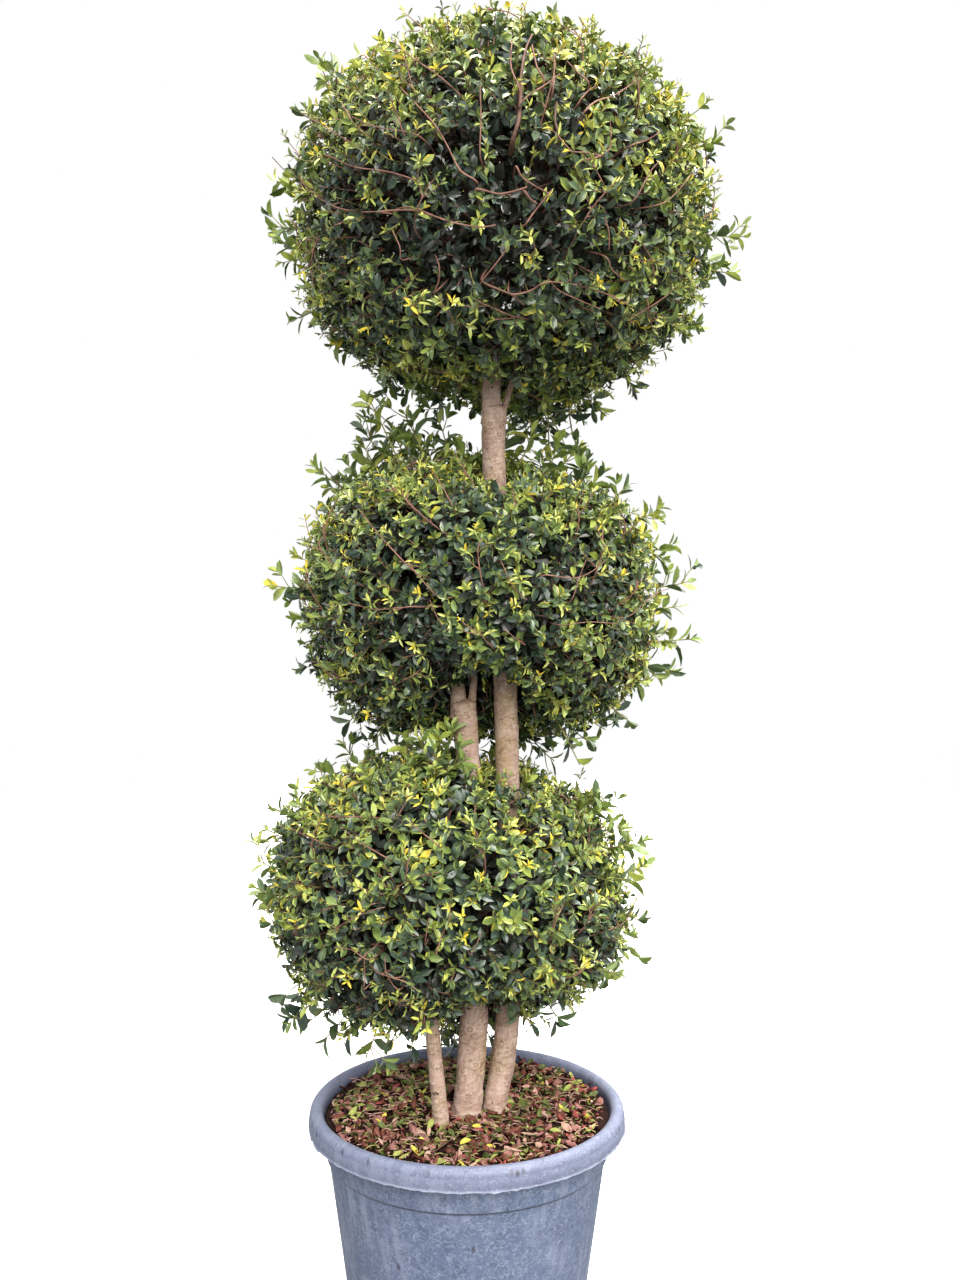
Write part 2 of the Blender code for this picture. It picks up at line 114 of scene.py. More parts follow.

# Edges of the pot's profile, as rows of (outwards, upwards, wear and painted highlight, painted shade,
# ragged, rim):
# the flash is counted from the rim at its lip, the undercut from the band at the lip, and the band's foot
# from the body; painted shade darkens the row under the flash, the undercut and the band's foot
FLASH_ROWS = (
    (0.0004, 0.0012, 0.20, 0, 0.4, 1),
    (0.0014, 0.0002, 0.85, 0, 1.0, 0),
    (0.0010, -0.0008, 0.45, 0, 1.3, 0),
    (-0.0010, -0.0008, 0, 0.8, 0.9, 0),
)
UNDERCUT_ROWS = ((0.006, 0.0040, 0, 1.0, 0, 0), (0.0006, RIM_UNDERCUT, 0, 1.0, 0, 0))
BAND_FOOT_ROWS = (
    (BAND_STEP, 0.0006, 0.16, 0, 0.1, 0),
    (BAND_STEP - 0.0007, -0.0002, 0.12, 0, 0.1, 0),
    (0.0003, -0.0012, 0, 0.85, 0, 0),
    (0.0, -0.0026, 0, 0.65, 0, 0),
)

# Rows of the profile on each stretch, the heights that the inside starts at and the body ends at, and the
# radius of the two small rings at the axis
INSIDE_ROWS = 8
ROLL_ROWS = 16
BULGE_ROWS = 6
BAND_ROWS = 14
BODY_ROWS = 30
FOOT_ROWS = 6
INSIDE_START = 0.03
BODY_END = 0.012
AXIS_HOLE = 0.0005

# Nicks in the rim and the body, as (angle, height, size)
NICKS = (
    (-73, 0.3655, 0.0032), (-75, 0.3700, 0.0022), (-71, 0.3690, 0.0018), (-136, 0.3665, 0.0030),
    (-124, 0.3690, 0.0026), (-102, 0.3700, 0.0024), (-155, 0.3620, 0.0030), (-162, 0.3640, 0.0026),
    (-168, 0.3600, 0.0030), (-21, 0.3640, 0.0028), (-87, 0.2564, 0.0034), (-118, 0.2200, 0.0022),
    (38, 0.3600, 0.0030), (96, 0.3650, 0.0028), (150, 0.3630, 0.0026), (60, 0.2300, 0.0030),
)

POT_COLORS = {
    "low": (0.088, 0.120, 0.205),
    "high": (0.150, 0.192, 0.300),
    "lilac": (0.165, 0.180, 0.290),
    "streaks": (0.232, 0.270, 0.385),
    "strokes": (0.268, 0.318, 0.440),
    "creases": (0.068, 0.088, 0.140),
    "rim": (0.225, 0.225, 0.325),
    "specks": (0.400, 0.450, 0.560),
    "holes": (0.030, 0.030, 0.040),
    "cracks": (0.050, 0.050, 0.065),
    "nicks": (0.045, 0.035, 0.040),
    # Painted shade under the lip, in the undercut, along the band's foot and inside the pot
    "painted_shade": (0.030, 0.036, 0.055),
    # Real wear on the flash and edges, with a painted highlight along the top of the rim's roll
    "wear_and_highlight": (0.400, 0.430, 0.560),
}

# Soil and litter
SOIL_TOP = 0.358
SOIL_RADIUS = 0.2030
SOIL_RINGS = 44
SOIL_SIDES = 144
SOIL_RELIEF = 0.0040
SOIL_GRAIN = 42
SOIL_SKIRT = 0.02

# The dip round the stems, as (x, y, depth, spread)
SOIL_DIP = (0.005, -0.03, 0.002, 0.06)
SOIL_COLORS = ((0.012, 0.005, 0.004), (0.040, 0.017, 0.012))
GAP = 0.0003

# Chips of bark, as (darkest colour, palest colour, count, lengths, share that lies on the right)
CHIPS = {
    "chips_dark": ((0.014, 0.005, 0.004), (0.050, 0.017, 0.012), 1000, (0.005, 0.013), 0.0),
    "chips_brown": ((0.10, 0.030, 0.020), (0.25, 0.090, 0.064), 520, (0.008, 0.022), 0.0),
    "chips_mauve": ((0.22, 0.085, 0.070), (0.46, 0.230, 0.200), 400, (0.008, 0.022), 0.0),
    "chips_red": ((0.24, 0.050, 0.045), (0.40, 0.105, 0.090), 330, (0.006, 0.018), 0.6),
    "chips_tan": ((0.42, 0.240, 0.165), (0.66, 0.43, 0.34), 110, (0.006, 0.017), 0.0),
}
CHIP_SIDES = 6
CHIP_WIDTHS = (0.25, 0.8)
CHIP_THICKNESS = (0.0006, 0.0020)
CHIP_TILT = 52
CHIP_LIFT = 0.009
CHIP_MARGIN = 0.4
CHIP_TURN = 0.3
CHIP_RAGGED = (0.7, 1.1)
CHIP_BEND = (-0.8, 1.4)
CHIP_UNEVEN = (0.7, 1.2)
CHIP_RINGS = ((-0.5, 1.0), (0.5, 0.86))

# Fallen leaves, as (darkest colour, palest colour, count, lengths)
FALLEN = {
    "fallen_green": ((0.055, 0.080, 0.022), (0.17, 0.20, 0.055), 430, (0.010, 0.022)),
    "fallen_lime": ((0.26, 0.32, 0.070), (0.50, 0.52, 0.16), 240, (0.009, 0.020)),
    "fallen_tan": ((0.40, 0.22, 0.16), (0.64, 0.43, 0.34), 110, (0.010, 0.022)),
    "fallen_yellow": ((0.62, 0.52, 0.06), (0.78, 0.70, 0.14), 40, (0.010, 0.020)),
}
FALLEN_WIDTHS = (0.34, 0.56)
FALLEN_TILT = 40
FALLEN_LIFT = (0.002, 0.011)
FALLEN_MARGIN = 0.6
FALLEN_CURLS = (-0.5, 0.5)
FALLEN_FOLDS = (0.1, 0.7)

# Curled edges of old leaves, as (darkest colour, palest colour, count), and bits of twig among them
CURLS = {
    "curls_pink": ((0.42, 0.22, 0.18), (0.68, 0.45, 0.38), 320),
    "curls_olive": ((0.26, 0.25, 0.08), (0.58, 0.52, 0.22), 300),
}
CURL_LENGTHS = (0.007, 0.018)
CURL_RADII = (0.0008, 0.0005)
CURL_BEND = 1.3
FALLEN_TWIGS = 44
FALLEN_TWIG_LENGTHS = (0.025, 0.075)
FALLEN_TWIG_RADII = (0.0011, 0.0006)
FALLEN_TWIG_BEND = 0.45

# Curls and fallen twigs: their margin at the soil's edge as a share of the greatest length, how much they
# rise, their height over the soil in metres, and their sides and rings
CURL_MARGIN = 0.36
CURL_RISE = 0.12
CURL_LIFT = (0.006, 0.010)
CURL_SIDES = 4
CURL_RINGS = 8

# Seeds of the first of each kind of litter
LITTER_SEEDS = {"chips": 40, "fallen": 60, "twigs": 71, "curls": 80}

# The bend of a curl, as steps of (along, across, rise in metres)
CURL_STEPS = ((-0.5, -0.2, -0.001), (-0.17, 0.8, 0.001), (0.17, 0.8, 0.001), (0.5, -0.4, -0.001))

# Stems and boughs, as (x, y, z, radius) along each one
STEM_LINES = {
    "stem_top": (
        (0.0392, -0.008, SOIL_TOP + GAP, 0.0176),
        (0.0440, 0.000, 0.388, 0.0172),
        (0.0522, 0.008, 0.430, 0.0180),
        (0.0591, 0.005, 0.510, 0.0172),
        (0.0600, 0.000, 0.700, 0.0170),
        (0.0565, 0.000, 0.910, 0.0172),
        (0.0500, 0.000, 1.100, 0.0166),
        (0.0385, 0.000, 1.290, 0.0168),
        (0.0388, 0.000, 1.368, 0.0180),
    ),
    "stem_middle": (
        (-0.0010, -0.023, SOIL_TOP + GAP, 0.0218),
        (0.0022, -0.0165, 0.390, 0.0202),
        (0.0090, 0.000, 0.475, 0.0204),
        (0.0120, 0.000, 0.620, 0.0190),
        (0.0060, 0.000, 0.800, 0.0176),
        (-0.0015, 0.000, 0.890, 0.0174),
        (-0.0052, 0.000, 0.943, 0.0190),
    ),
    "stem_bottom": (
        (-0.0356, -0.058, SOIL_TOP + GAP, 0.0118),
        (-0.0386, -0.050, 0.390, 0.0108),
        (-0.0480, -0.031, 0.470, 0.0104),
        (-0.0500, -0.020, 0.508, 0.0100),
    ),
}
BOUGH_LINES = {
    "bough_top_main": (
        (0.0350, 0.000, 1.3683, 0.0140),
        (0.0352, 0.003, 1.405, 0.0136),
        (0.0380, 0.010, 1.452, 0.0124),
    ),
    "bough_top_side": (
        (0.0532, 0.000, 1.3683, 0.0042),
        (0.0600, 0.001, 1.392, 0.0040),
        (0.0690, 0.004, 1.430, 0.0034),
    ),
    "bough_middle_left": (
        (-0.0122, 0.000, 0.9433, 0.0116),
        (-0.0152, 0.004, 0.972, 0.0108),
        (-0.0200, 0.014, 1.006, 0.0098),
    ),
    "bough_middle_right": (
        (0.0068, 0.000, 0.9433, 0.0060),
        (0.0088, 0.003, 0.972, 0.0055),
        (0.0130, 0.010, 1.004, 0.0048),
    ),
}

# Knots on a stem, as (height, angle round it, radius)
KNOTS = {
    "stem_top": (
        (0.510, -97, 0.0062), (0.449, -80, 0.0050), (0.419, -113, 0.0055), (0.975, -70, 0.0050),
        (1.330, -60, 0.0060), (1.300, -120, 0.0045), (1.345, -110, 0.0060), (0.985, -100, 0.0040),
    ),
    "stem_middle": (
        (0.4327, -72, 0.0060), (0.4797, -107, 0.0068), (0.400, -140, 0.0050), (0.505, -60, 0.0050),
        (0.930, -80, 0.0055), (0.905, -110, 0.0045),
    ),
    "stem_bottom": ((0.440, -80, 0.0035), (0.395, -110, 0.0035), (0.475, -60, 0.0030)),
}
EXTRA_KNOTS = 44
EXTRA_KNOT_SIZES = (0.0026, 0.0047)
CRESCENT_BELOW = 0.0048
BARK_STEP = 0.0021
BARE_SPANS = ((0.345, 0.535), (0.82, 0.965), (1.19, 1.40))

BARK_COLORS = {
    "low": (0.32, 0.205, 0.160),
    "middle": (0.46, 0.320, 0.260),
    "high": (0.60, 0.455, 0.390),
    "ochre": (0.37, 0.265, 0.115),
    # Painted shade in the grooves of the wrinkles and in the hollows, and a painted highlight on the ridges
    # and raised bark
    "painted_groove_shade": (0.24, 0.145, 0.085),
    "painted_ridge_highlight": (0.76, 0.62, 0.54),
    "painted_hollow_shade": (0.15, 0.085, 0.035),
    "raised": (0.82, 0.68, 0.56),
    "dots": (0.07, 0.04, 0.025),
}

# Bark's relief: the scale of each noise, and its depth as a share of the limb's radius
LUMPS = (38, 0.055)
WRINKLES = (62, 0.050)
SWIRLS = (120, 0.045)
SWIRL_WIDTH = 0.10
PATCHES = 30
FOOT_FADE = 0.035

# How rough the bark is everywhere, how much more in patches, and how much more at the foot
ROUGHNESSES = (0.12, 0.6, 0.8)

# Where the bark gets painted shade in its hollows or a painted highlight where it is raised, as (level of the
# noise that it starts at, strength)
SWIRL_SHADE = (-0.1, 0.55)
WRINKLE_SHADE = (0.15, 0.9)
WRINKLE_HIGHLIGHT = (0.22, 0.9)
CAP_SHADE = 0.5

# Seeds of the limbs, and how far over a stem's foot its smaller knots begin
KNOT_SEED = 5
STEM_SEED = 10
BOUGH_SEED = 40
SEED_STEP = 5
KNOTS_START = 0.03

# Steps from one given place of a stem to the next, and of any other line; where a stem is hidden among
# leaves, one ring of this many stays
STEM_SMOOTHING = 8
SMOOTHING = 6
HIDDEN_RING = 5

# Parts of a scar, from its middle out, as (distance from the middle, width), both as shares of its size, then
# what each part adds to (height, dark, pale) in a whole scar and in a crescent, dark being painted shade in
# the sunk parts and pale a painted highlight on the raised ones
SCAR_PARTS = ((0.00, 0.30), (0.55, 0.22), (1.00, 0.22), (1.38, 0.18))
WHOLE_SCAR = ((0.22, 0.0, 0.35), (-0.16, 0.75, 0.0), (0.14, 0.0, 0.30), (-0.05, 0.55, 0.0))
CRESCENT_SCAR = ((0.0, 0.0, 0.0), (0.0, 0.35, 0.0), (0.20, 0.0, 0.65), (-0.08, 0.95, 0.0))
SCAR_FLATNESS = 1.3
CRESCENT_FADE = 1.6

# Rounded ends of limbs, as (share of the last ring, rise in half radii)
LIMB_CAPS = ((0.90, 0.35), (0.62, 0.75), (0.02, 0.95))

# Boughs start inside the stem, this far down and this much thicker, and run on in the ball to a thin tip
BOUGH_LEAD = 0.020
BOUGH_LEAD_SWELL = 1.12
HIDDEN_START = 0.12
HIDDEN_STEPS = 9
HIDDEN_TIP = 0.0035
BOUGH_STEP = 0.004
BOUGH_SIDES = 32

# Sides of the stems: more where the foot's radius is over the first value
THICK_STEM = 0.015
THICK_STEM_SIDES = 72
THIN_STEM_SIDES = 48

# The limbs' ways on through a ball: how far apart they end, how high, and how much they still rise there
SPINE_SPREAD = 0.35
SPINE_HEIGHT = 0.30
SPINE_RISE = 0.2

# Twig bark, as (darkest colour, palest colour)
WOODS = {
    "dark_twig": ((0.11, 0.055, 0.040), (0.24, 0.125, 0.090)),
    "red_brown_twig": ((0.15, 0.062, 0.044), (0.42, 0.215, 0.155)),
    "green_twig": ((0.24, 0.23, 0.07), (0.40, 0.36, 0.13)),
    "fallen_twig_bark": ((0.12, 0.065, 0.035), (0.32, 0.21, 0.12)),
}

# Balls of foliage, shares being of the radius and widths in degrees: a bump or hollow is (towards, height or
# depth as a share, width), a shade is (towards, tone taken away as painted shade, width), a sprig is (angle
# seen from the front, reach as a share) and a tuft is (towards, reach as a share)
BALL_POWER = 2.6
BALLS = {
    "foliage_bottom": {
        "centre": (-0.025, 0.060, 0.662),
        "half_width": 0.273,
        "half_height": 0.200,
        "lean": 0.21,
        "seed": 11,
        "stems": ("stem_bottom",),
        "bumps": (
            ((0.75, -0.20, 0.65), -0.10, 28),
            ((-0.35, -0.10, 0.95), 0.05, 30),
            ((0.02, -0.50, 0.86), 0.05, 18),
            ((0.28, -0.70, -0.70), -0.26, 24),
            ((-0.75, 0.00, -0.66), -0.05, 16),
            ((0.75, 0.00, -0.66), -0.06, 16),
        ),
        "sprigs": (
            (184, 1.10), (163, 1.08), (148, 1.06), (128, 1.15), (27, 1.08), (13, 1.14), (0, 1.13),
            (-19, 1.07), (-66, 1.10), (-139, 1.16), (-144, 1.19), (-133, 1.15), (-126, 1.16), (-119, 1.18),
            (-112, 1.15), (-105, 1.13), (-97, 1.10), (-56, 1.10), (-47, 1.08), (8, 1.08), (20, 1.06),
            (-8, 1.08), (-28, 1.05), (-150, 1.10), (172, 1.07), (155, 1.07), (138, 1.08),
        ),
        "tufts": (
            ((-0.06, 0.28, -0.96), 1.33), ((0.02, 0.24, -0.97), 1.30), ((0.22, 0.30, -0.93), 1.30),
            ((0.26, 0.26, -0.93), 1.26), ((0.10, 0.34, -0.93), 1.28), ((-0.02, 0.34, -0.94), 1.26),
            ((-0.06, -0.30, 0.95), 1.17), ((0.02, -0.32, 0.95), 1.21), ((0.10, -0.30, 0.95), 1.17),
            ((-0.16, -0.28, 0.95), 1.15), ((0.20, -0.30, 0.93), 1.13), ((-0.26, -0.20, 0.94), 1.14),
            ((0.06, -0.45, 0.89), 1.12), ((-0.08, -0.48, 0.87), 1.10),
        ),
        "hollows": (((-0.10, -0.95, -0.30), 0.06, 16),),
        # Painted shade low on the front and on the right
        "shades": (((-0.15, -0.80, -0.60), 0.20, 36), ((0.92, -0.30, -0.20), 0.14, 34)),
        "shoots": 1720,
        "tips": 160,
        "runners": 66,
        "tone": 0.22,
        "youth": 0.26,
        "tip_tone": 0.63,
        "pockets": 0.25,
    },
    "foliage_middle": {
        "centre": (0.018, 0.080, 1.0965),
        "half_width": 0.270,
        "half_height": 0.2195,
        "lean": -0.03,
        "seed": 23,
        "stems": ("bough_middle_left", "bough_middle_right"),
        "bumps": (
            ((0.10, -0.55, 0.80), -0.16, 26),
            ((0.16, 0.30, 0.94), 0.06, 20),
            ((0.62, 0.00, 0.78), -0.10, 20),
            ((0.03, -0.68, -0.73), -0.42, 28),
        ),
        "sprigs": (
            (185, 1.20), (176, 1.18), (141, 1.25), (119, 1.44), (103, 1.28), (80, 1.20), (57, 1.26),
            (46, 1.12), (38, 1.16), (27, 1.18), (16, 1.12), (5, 1.18), (-11, 1.20), (-21, 1.12),
            (-39, 1.14), (-59, 1.30), (124, 1.33), (112, 1.32), (115, 1.20), (129, 1.20), (107, 1.16),
            (134, 1.14), (98, 1.12), (122, 1.14), (117, 1.24), (127, 1.20), (109, 1.16), (73, 1.26),
            (63, 1.24), (52, 1.18), (-52, 1.16), (-65, 1.20), (-70, 1.10), (-46, 1.08), (-127, 1.10),
            (-137, 1.08), (-118, 1.06),
        ),
        "hollows": (((-0.35, -0.90, -0.10), 0.07, 14), ((0.55, -0.80, 0.10), 0.06, 13)),
        # Painted shade on the front and low on the front
        "shades": (((0.30, -0.85, 0.00), 0.10, 30), ((-0.10, -0.70, -0.75), 0.14, 36)),
        "shoots": 1820,
        "tips": 180,
        "runners": 70,
        "tone": 0.25,
        "youth": 0.21,
        "tip_tone": 0.68,
        "pockets": 0.30,
    },
    "foliage_top": {
        "centre": (0.0545, 0.050, 1.650),
        "half_width": 0.312,
        "half_height": 0.255,
        "lean": -0.35,
        "seed": 37,
        "stems": ("bough_top_main", "bough_top_side"),
        "bumps": (
            ((0.24, 0.30, -0.92), 0.16, 18),
            ((0.64, 0.00, 0.77), -0.16, 25),
            ((0.70, 0.00, -0.72), -0.05, 16),
            ((-0.45, 0.00, -0.89), -0.05, 16),
        ),
        "sprigs": (
            (52, 1.12), (71, 1.05), (97, 1.06), (111, 1.07), (127, 1.06), (142, 1.13), (167, 1.14),
            (183, 1.10), (201, 1.12), (-1, 1.18), (-13, 1.10), (-21, 1.12), (15, 1.05), (30, 1.04),
            (-45, 1.08), (-57, 1.12), (-131, 1.08),
        ),
        "tufts": (
            ((0.12, 0.12, -0.98), 1.20), ((0.20, 0.15, -0.96), 1.24), ((0.28, 0.10, -0.95), 1.19),
            ((0.16, 0.22, -0.95), 1.28), ((0.34, 0.20, -0.92), 1.16), ((0.05, 0.25, -0.96), 1.22),
            ((-0.50, 0.00, -0.86), 1.12), ((-0.42, 0.10, -0.90), 1.14), ((-0.36, 0.20, -0.91), 1.16),
        ),
        "hollows": (
            ((-0.08, -0.90, -0.43), 0.15, 13),
            ((0.06, -0.99, -0.10), 0.10, 8),
            ((0.05, -0.86, 0.45), 0.10, 9),
            ((-0.45, -0.80, -0.30), 0.07, 12),
        ),
        # Painted shade in the front's middle and on its lower left
        "shades": (((-0.05, -0.92, -0.20), 0.28, 40), ((-0.75, -0.60, -0.35), 0.12, 30)),
        "shoots": 2300,
        "tips": 200,
        "runners": 90,
        "tone": 0.38,
        "youth": 0.18,
        "tip_tone": 0.70,
        "pockets": 0.40,
    },
}

# Twigs that show on the front of each ball, as (radius, the photograph's pixels that each runs through)
FRONT_TWIGS = {
    "foliage_top": (
        (0.0013, ((380, 212), (410, 210), (430, 215), (455, 223), (480, 227), (496, 225))),
        (0.0011, ((380, 171), (397, 174), (415, 180))),
        (0.0015, ((476, 189), (490, 192), (500, 194), (515, 191), (527, 187))),
        (0.0012, ((516, 166), (522, 177), (535, 186), (550, 194))),
        (0.0021, ((524, 191), (530, 199), (537, 204))),
        (0.0013, ((525, 225), (532, 215), (542, 202), (552, 190))),
        (0.0010, ((601, 206), (606, 222), (609, 232), (609, 250))),
        (0.0010, ((606, 257), (612, 270), (625, 280))),
        (0.0011, ((476, 294), (482, 281), (495, 265), (509, 246))),
        (0.0017, ((482, 281), (500, 290), (512, 295), (524, 305))),
        (0.0013, ((510, 294), (530, 291), (547, 282), (577, 285))),
        (0.0010, ((557, 289), (572, 297), (600, 309))),
        (0.0011, ((435, 292), (439, 280), (439, 265), (435, 255))),
        (0.0009, ((402, 260), (400, 247), (392, 230))),
        (0.0012, ((475, 180), (460, 170), (447, 145), (435, 125), (417, 105), (400, 87))),
        (0.0011, ((415, 180), (385, 171), (355, 167), (327, 155))),
        (0.0010, ((442, 219), (410, 207), (390, 211), (362, 212))),
        (0.0011, ((480, 155), (481, 120), (480, 85))),
        (0.0034, ((513, 140), (519, 118), (521, 86))),
        (0.0019, ((519, 90), (525, 52), (532, 35))),
        (0.0014, ((520, 92), (511, 67), (512, 40))),
        (0.0012, ((522, 102), (545, 85), (560, 74))),
        (0.0015, ((544, 82), (537, 67), (532, 45))),
        (0.0013, ((552, 95), (554, 75), (554, 52))),
        (0.0013, ((589, 86), (577, 72), (567, 61))),
        (0.0013, ((582, 115), (595, 102), (615, 95), (636, 81))),
        (0.0010, ((577, 105), (587, 92), (596, 86))),
        (0.0010, ((580, 162), (600, 156), (610, 148), (611, 135), (610, 120))),
        (0.0012, ((628, 147), (647, 140), (660, 132))),
        (0.0011, ((632, 202), (650, 172), (659, 162))),
        (0.0010, ((654, 206), (672, 197), (695, 170))),
        (0.0018, ((559, 140), (555, 120), (557, 102))),
        (0.0012, ((357, 127), (347, 112), (330, 85), (319, 63))),
        (0.0010, ((350, 142), (317, 122), (292, 108))),
        (0.0010, ((335, 207), (297, 182), (272, 157))),
        (0.0010, ((417, 135), (377, 127), (352, 117))),
    ),
    "foliage_middle": (
        (0.0010, ((452, 505), (435, 475), (420, 457), (395, 430), (374, 409))),
        (0.0010, ((415, 572), (390, 547), (367, 520), (342, 487), (324, 467))),
        (0.0008, ((435, 594), (417, 574), (407, 560))),
        (0.0008, ((525, 645), (505, 630))),
        (0.0009, ((545, 575), (573, 578), (591, 572), (606, 560))),
        (0.0008, ((570, 602), (579, 578), (586, 560))),
        (0.0008, ((561, 625), (591, 622), (627, 625))),
        (0.0008, ((627, 617), (652, 596), (670, 588))),
        (0.0008, ((447, 630), (437, 617), (430, 600))),
        (0.0008, ((500, 560), (512, 585), (527, 600))),
    ),
    "foliage_bottom": (
        (0.0009, ((320, 842), (302, 834), (290, 827))),
        (0.0010, ((385, 857), (360, 842), (340, 827))),
        (0.0010, ((440, 847), (425, 835), (410, 822))),
        (0.0009, ((332, 932), (350, 920), (367, 912), (385, 907))),
        (0.0008, ((425, 945), (427, 930), (429, 918))),
        (0.0009, ((436, 955), (442, 935), (450, 917), (450, 903))),
        (0.0008, ((357, 962), (365, 955), (380, 942))),
        (0.0008, ((364, 990), (365, 980), (364, 957))),
        (0.0008, ((400, 990), (387, 975), (385, 957))),
        (0.0008, ((470, 955), (476, 945), (482, 932))),
        (0.0008, ((370, 960), (352, 950), (334, 947))),
    ),
}
FRONT_TWIG_SHARE = 0.968
THICK_TWIG = 0.0017
FRONT_TWIG_SIDES = 5

# A front twig starts this share of the way out, swollen at its foot and tapering, and its place is sought
# from this many half widths in front of the ball's centre by halving the way this often
FRONT_TWIG_ROOT = 0.82
FRONT_TWIG_SWELL = 1.1
FRONT_TWIG_TAPER = 0.4
FRONT_TWIG_STEP = 0.005
FRONT_DEPTH = 1.3
HALVINGS = 20

# Growth inside a ball
GOLDEN_ANGLE = math.pi * (3 - math.sqrt(5))
LEADERS = 36
TWIGS = 300
INNER_TWIGS = 520
BACK_SPRIGS = 8
DROOPING = -0.45
FRINGE = 130
LEAF_LENGTH = 0.0190
MISSING_LEAVES = 0.06

# How far the ways that growth faces may be off their even spread, the room that growth keeps round it in
# metres, and where along a curve that room is looked for
JITTER = {"leaders": 0.10, "twigs": 0.07, "shoots": 0.045, "tips": 0.10, "fringe": 0.16, "runners": 0.28}
ROOM = {"twigs": 0.002, "shoots": 0.003, "runners": 0.004, "leaves": 0.0015}
ROOM_PLACES = (0.45, 0.7, 0.85, 1.0)
RUNNER_ROOM_PLACES = (0.2, 0.4, 0.6, 0.8, 1.0)
LEAF_ROOM_PLACES = (0.3, 1.0)
LIMB_STEP = 0.008
POINTS_AT_ONCE = 4000

# Leaders leave the limbs' ways on from this share of them up, over this much more of them, and twigs leave
# the leaders between two shares of them
LEADER_FOOT = 0.15
LEADER_SPAN = 0.8
LEADER_PARTS = (0.45, 0.95)
TWIG_LOOSE = 0.18
SHOOT_OUTWARD = 0.4

# How leaves differ: sizes, curls and folds, looseness of aim and face, spread of the angle in degrees and of
# the tone, how much they turn up, the share of a shoot that stays bare at its foot, and how much they face
# outwards, with upwards counted for part of it
LEAF_SIZES = (0.78, 1.20)
LEAF_CURLS = (-0.05, 0.60)
LEAF_FOLDS = (0.10, 0.90)
LOOSE_AIM = 0.10
LOOSE_FACE = 0.60
ANGLE_SPREAD = 11
TONE_SPREAD = 0.13
LEAF_RISE = 0.06
BARE_FOOT = 0.12
FACING = 0.30
FACE_UPWARD = 0.5

# A curve is taken as this much longer than its chord, and its leaves are off their spots and quarter turns
ARC_LENGTH = 1.06
SPOT_SPREAD = (0.85, 1.15)
ROLL_SPREAD = 0.25

# Painted highlights along the edges of broad leaves: how many have one, how much paler it is, and its height
# over the leaf
HIGHLIGHT_EDGES = 0.42
EDGE_HIGHLIGHT_TONE = 0.38
EDGE_LIFT = 0.0004
EDGE_SPREAD = 0.08

# Outlines of leaves as rows of (place along, share of the width), and the widths as shares of the length
LEAF_ROWS = {
    "broad": ((0.0, 0.0), (0.34, 0.84), (0.74, 0.92), (1.0, 0.0)),
    "narrow": ((0.0, 0.0), (0.30, 0.84), (0.74, 0.88), (1.0, 0.0)),
    "pointed": ((0.0, 0.0), (0.20, 0.58), (0.50, 1.0), (0.80, 0.78), (1.0, 0.0)),
    "plain": ((0.0, 0.0), (0.55, 1.0), (1.0, 0.0)),
}
LEAF_WIDTHS = {"broad": (0.42, 0.58), "narrow": (0.24, 0.36), "pointed": (0.36, 0.48), "plain": (0.52, 0.64)}
LIMB_CLEARANCE = 0.004
NEIGHBOUR_SHARE = 1.0
RIM_CLEARANCE = 0.006

# Base colours of the leaves, and the tone that each starts at: the tone runs from the oldest leaves to the
# youngest with painted light and shade added, and the darkest, shade, is painted shade on the inner leaves
# and in the dark gaps
LEAF_TONES = {
    "shade": (-9.00, (0.015, 0.020, 0.010), 0.45),
    "deep": (-0.04, (0.043, 0.080, 0.052), 0.33),
    "dark": (0.17, (0.096, 0.152, 0.062), 0.35),
    "mid": (0.36, (0.205, 0.290, 0.064), 0.37),
    "fresh": (0.57, (0.400, 0.475, 0.092), 0.40),
    "lime": (0.76, (0.670, 0.710, 0.155), 0.43),
    "yellow": (0.90, (0.890, 0.680, 0.055), 0.46),
}

# Where leaders, twigs and inner twigs end, as shares of the ball's radius
LEADER_ENDS = (0.58, 0.66)
TWIG_ENDS = (0.78, 0.87)
INNER_ENDS = (0.70, 0.86)

# Shoots, as (least and greatest share along its twig that one leaves from, upward turn, looseness of its aim)
SHOOT_KINDS = {
    "shoots": (0.30, 0.98, 0.22, 0.30),
    "tips": (0.55, 1.00, 0.30, 0.22),
    "sprigs": (0.30, 0.80, 0.20, 0.14),
    "fringe": (0.35, 0.90, 0.22, 0.26),
}
SHOOT_REACH = (0.905, 0.985)
YOUNG_REACH = 0.03
REACH_NOISE = 0.040
POCKETS_BELOW = 0.22
DEEPEST_POCKET = 0.3
TIP_REACH = (0.935, 1.015)
FRINGE_REACH = (0.950, 1.070)
SPRIG_SIDES = 2
SPRIG_SIDE_LENGTHS = (0.020, 0.036)
SPURS = 3
SPUR_LENGTHS = (0.014, 0.038)

# Side twigs: where they leave, their angles in degrees, their lift in metres, and how much they turn along
# their twig and upwards
SIDE_PARTS = (0.25, 0.95)
SIDE_ANGLES = (28, 62)
SIDE_LIFT = 0.004
SIDE_FOLLOW = 0.5
SIDE_UPWARD = 0.2

# Sprigs: how far off they point, how far inside their reach the twig ends, and the aims and reaches of those
# behind
SPRIG_LOOSE = 0.14
SPRIG_TIP = 0.02
BACK_SPRIG_TURN = 0.2
BACK_SPRIG_RISE = (-0.5, 0.8)
BACK_SPRIG_REACH = (1.06, 1.14)

# Runners: how much they turn up and aside, how wide they sweep, and how unsteady they are
RUNNER_UPWARD = 0.8
RUNNER_LOOSE = 0.55
RUNNER_SWEEP = (0.15, 0.42)
RUNNER_WANDER = 0.03
RUNNER_STEPS = ((0.0, 0.82), (0.30, 0.965), (0.65, 0.995), (1.0, 0.985))

# Fewer fringe shoots grow on the side that faces the front, past this much of a turn towards it
FRONT_TURN = 0.55
FRONT_LEFT_OUT = 0.75

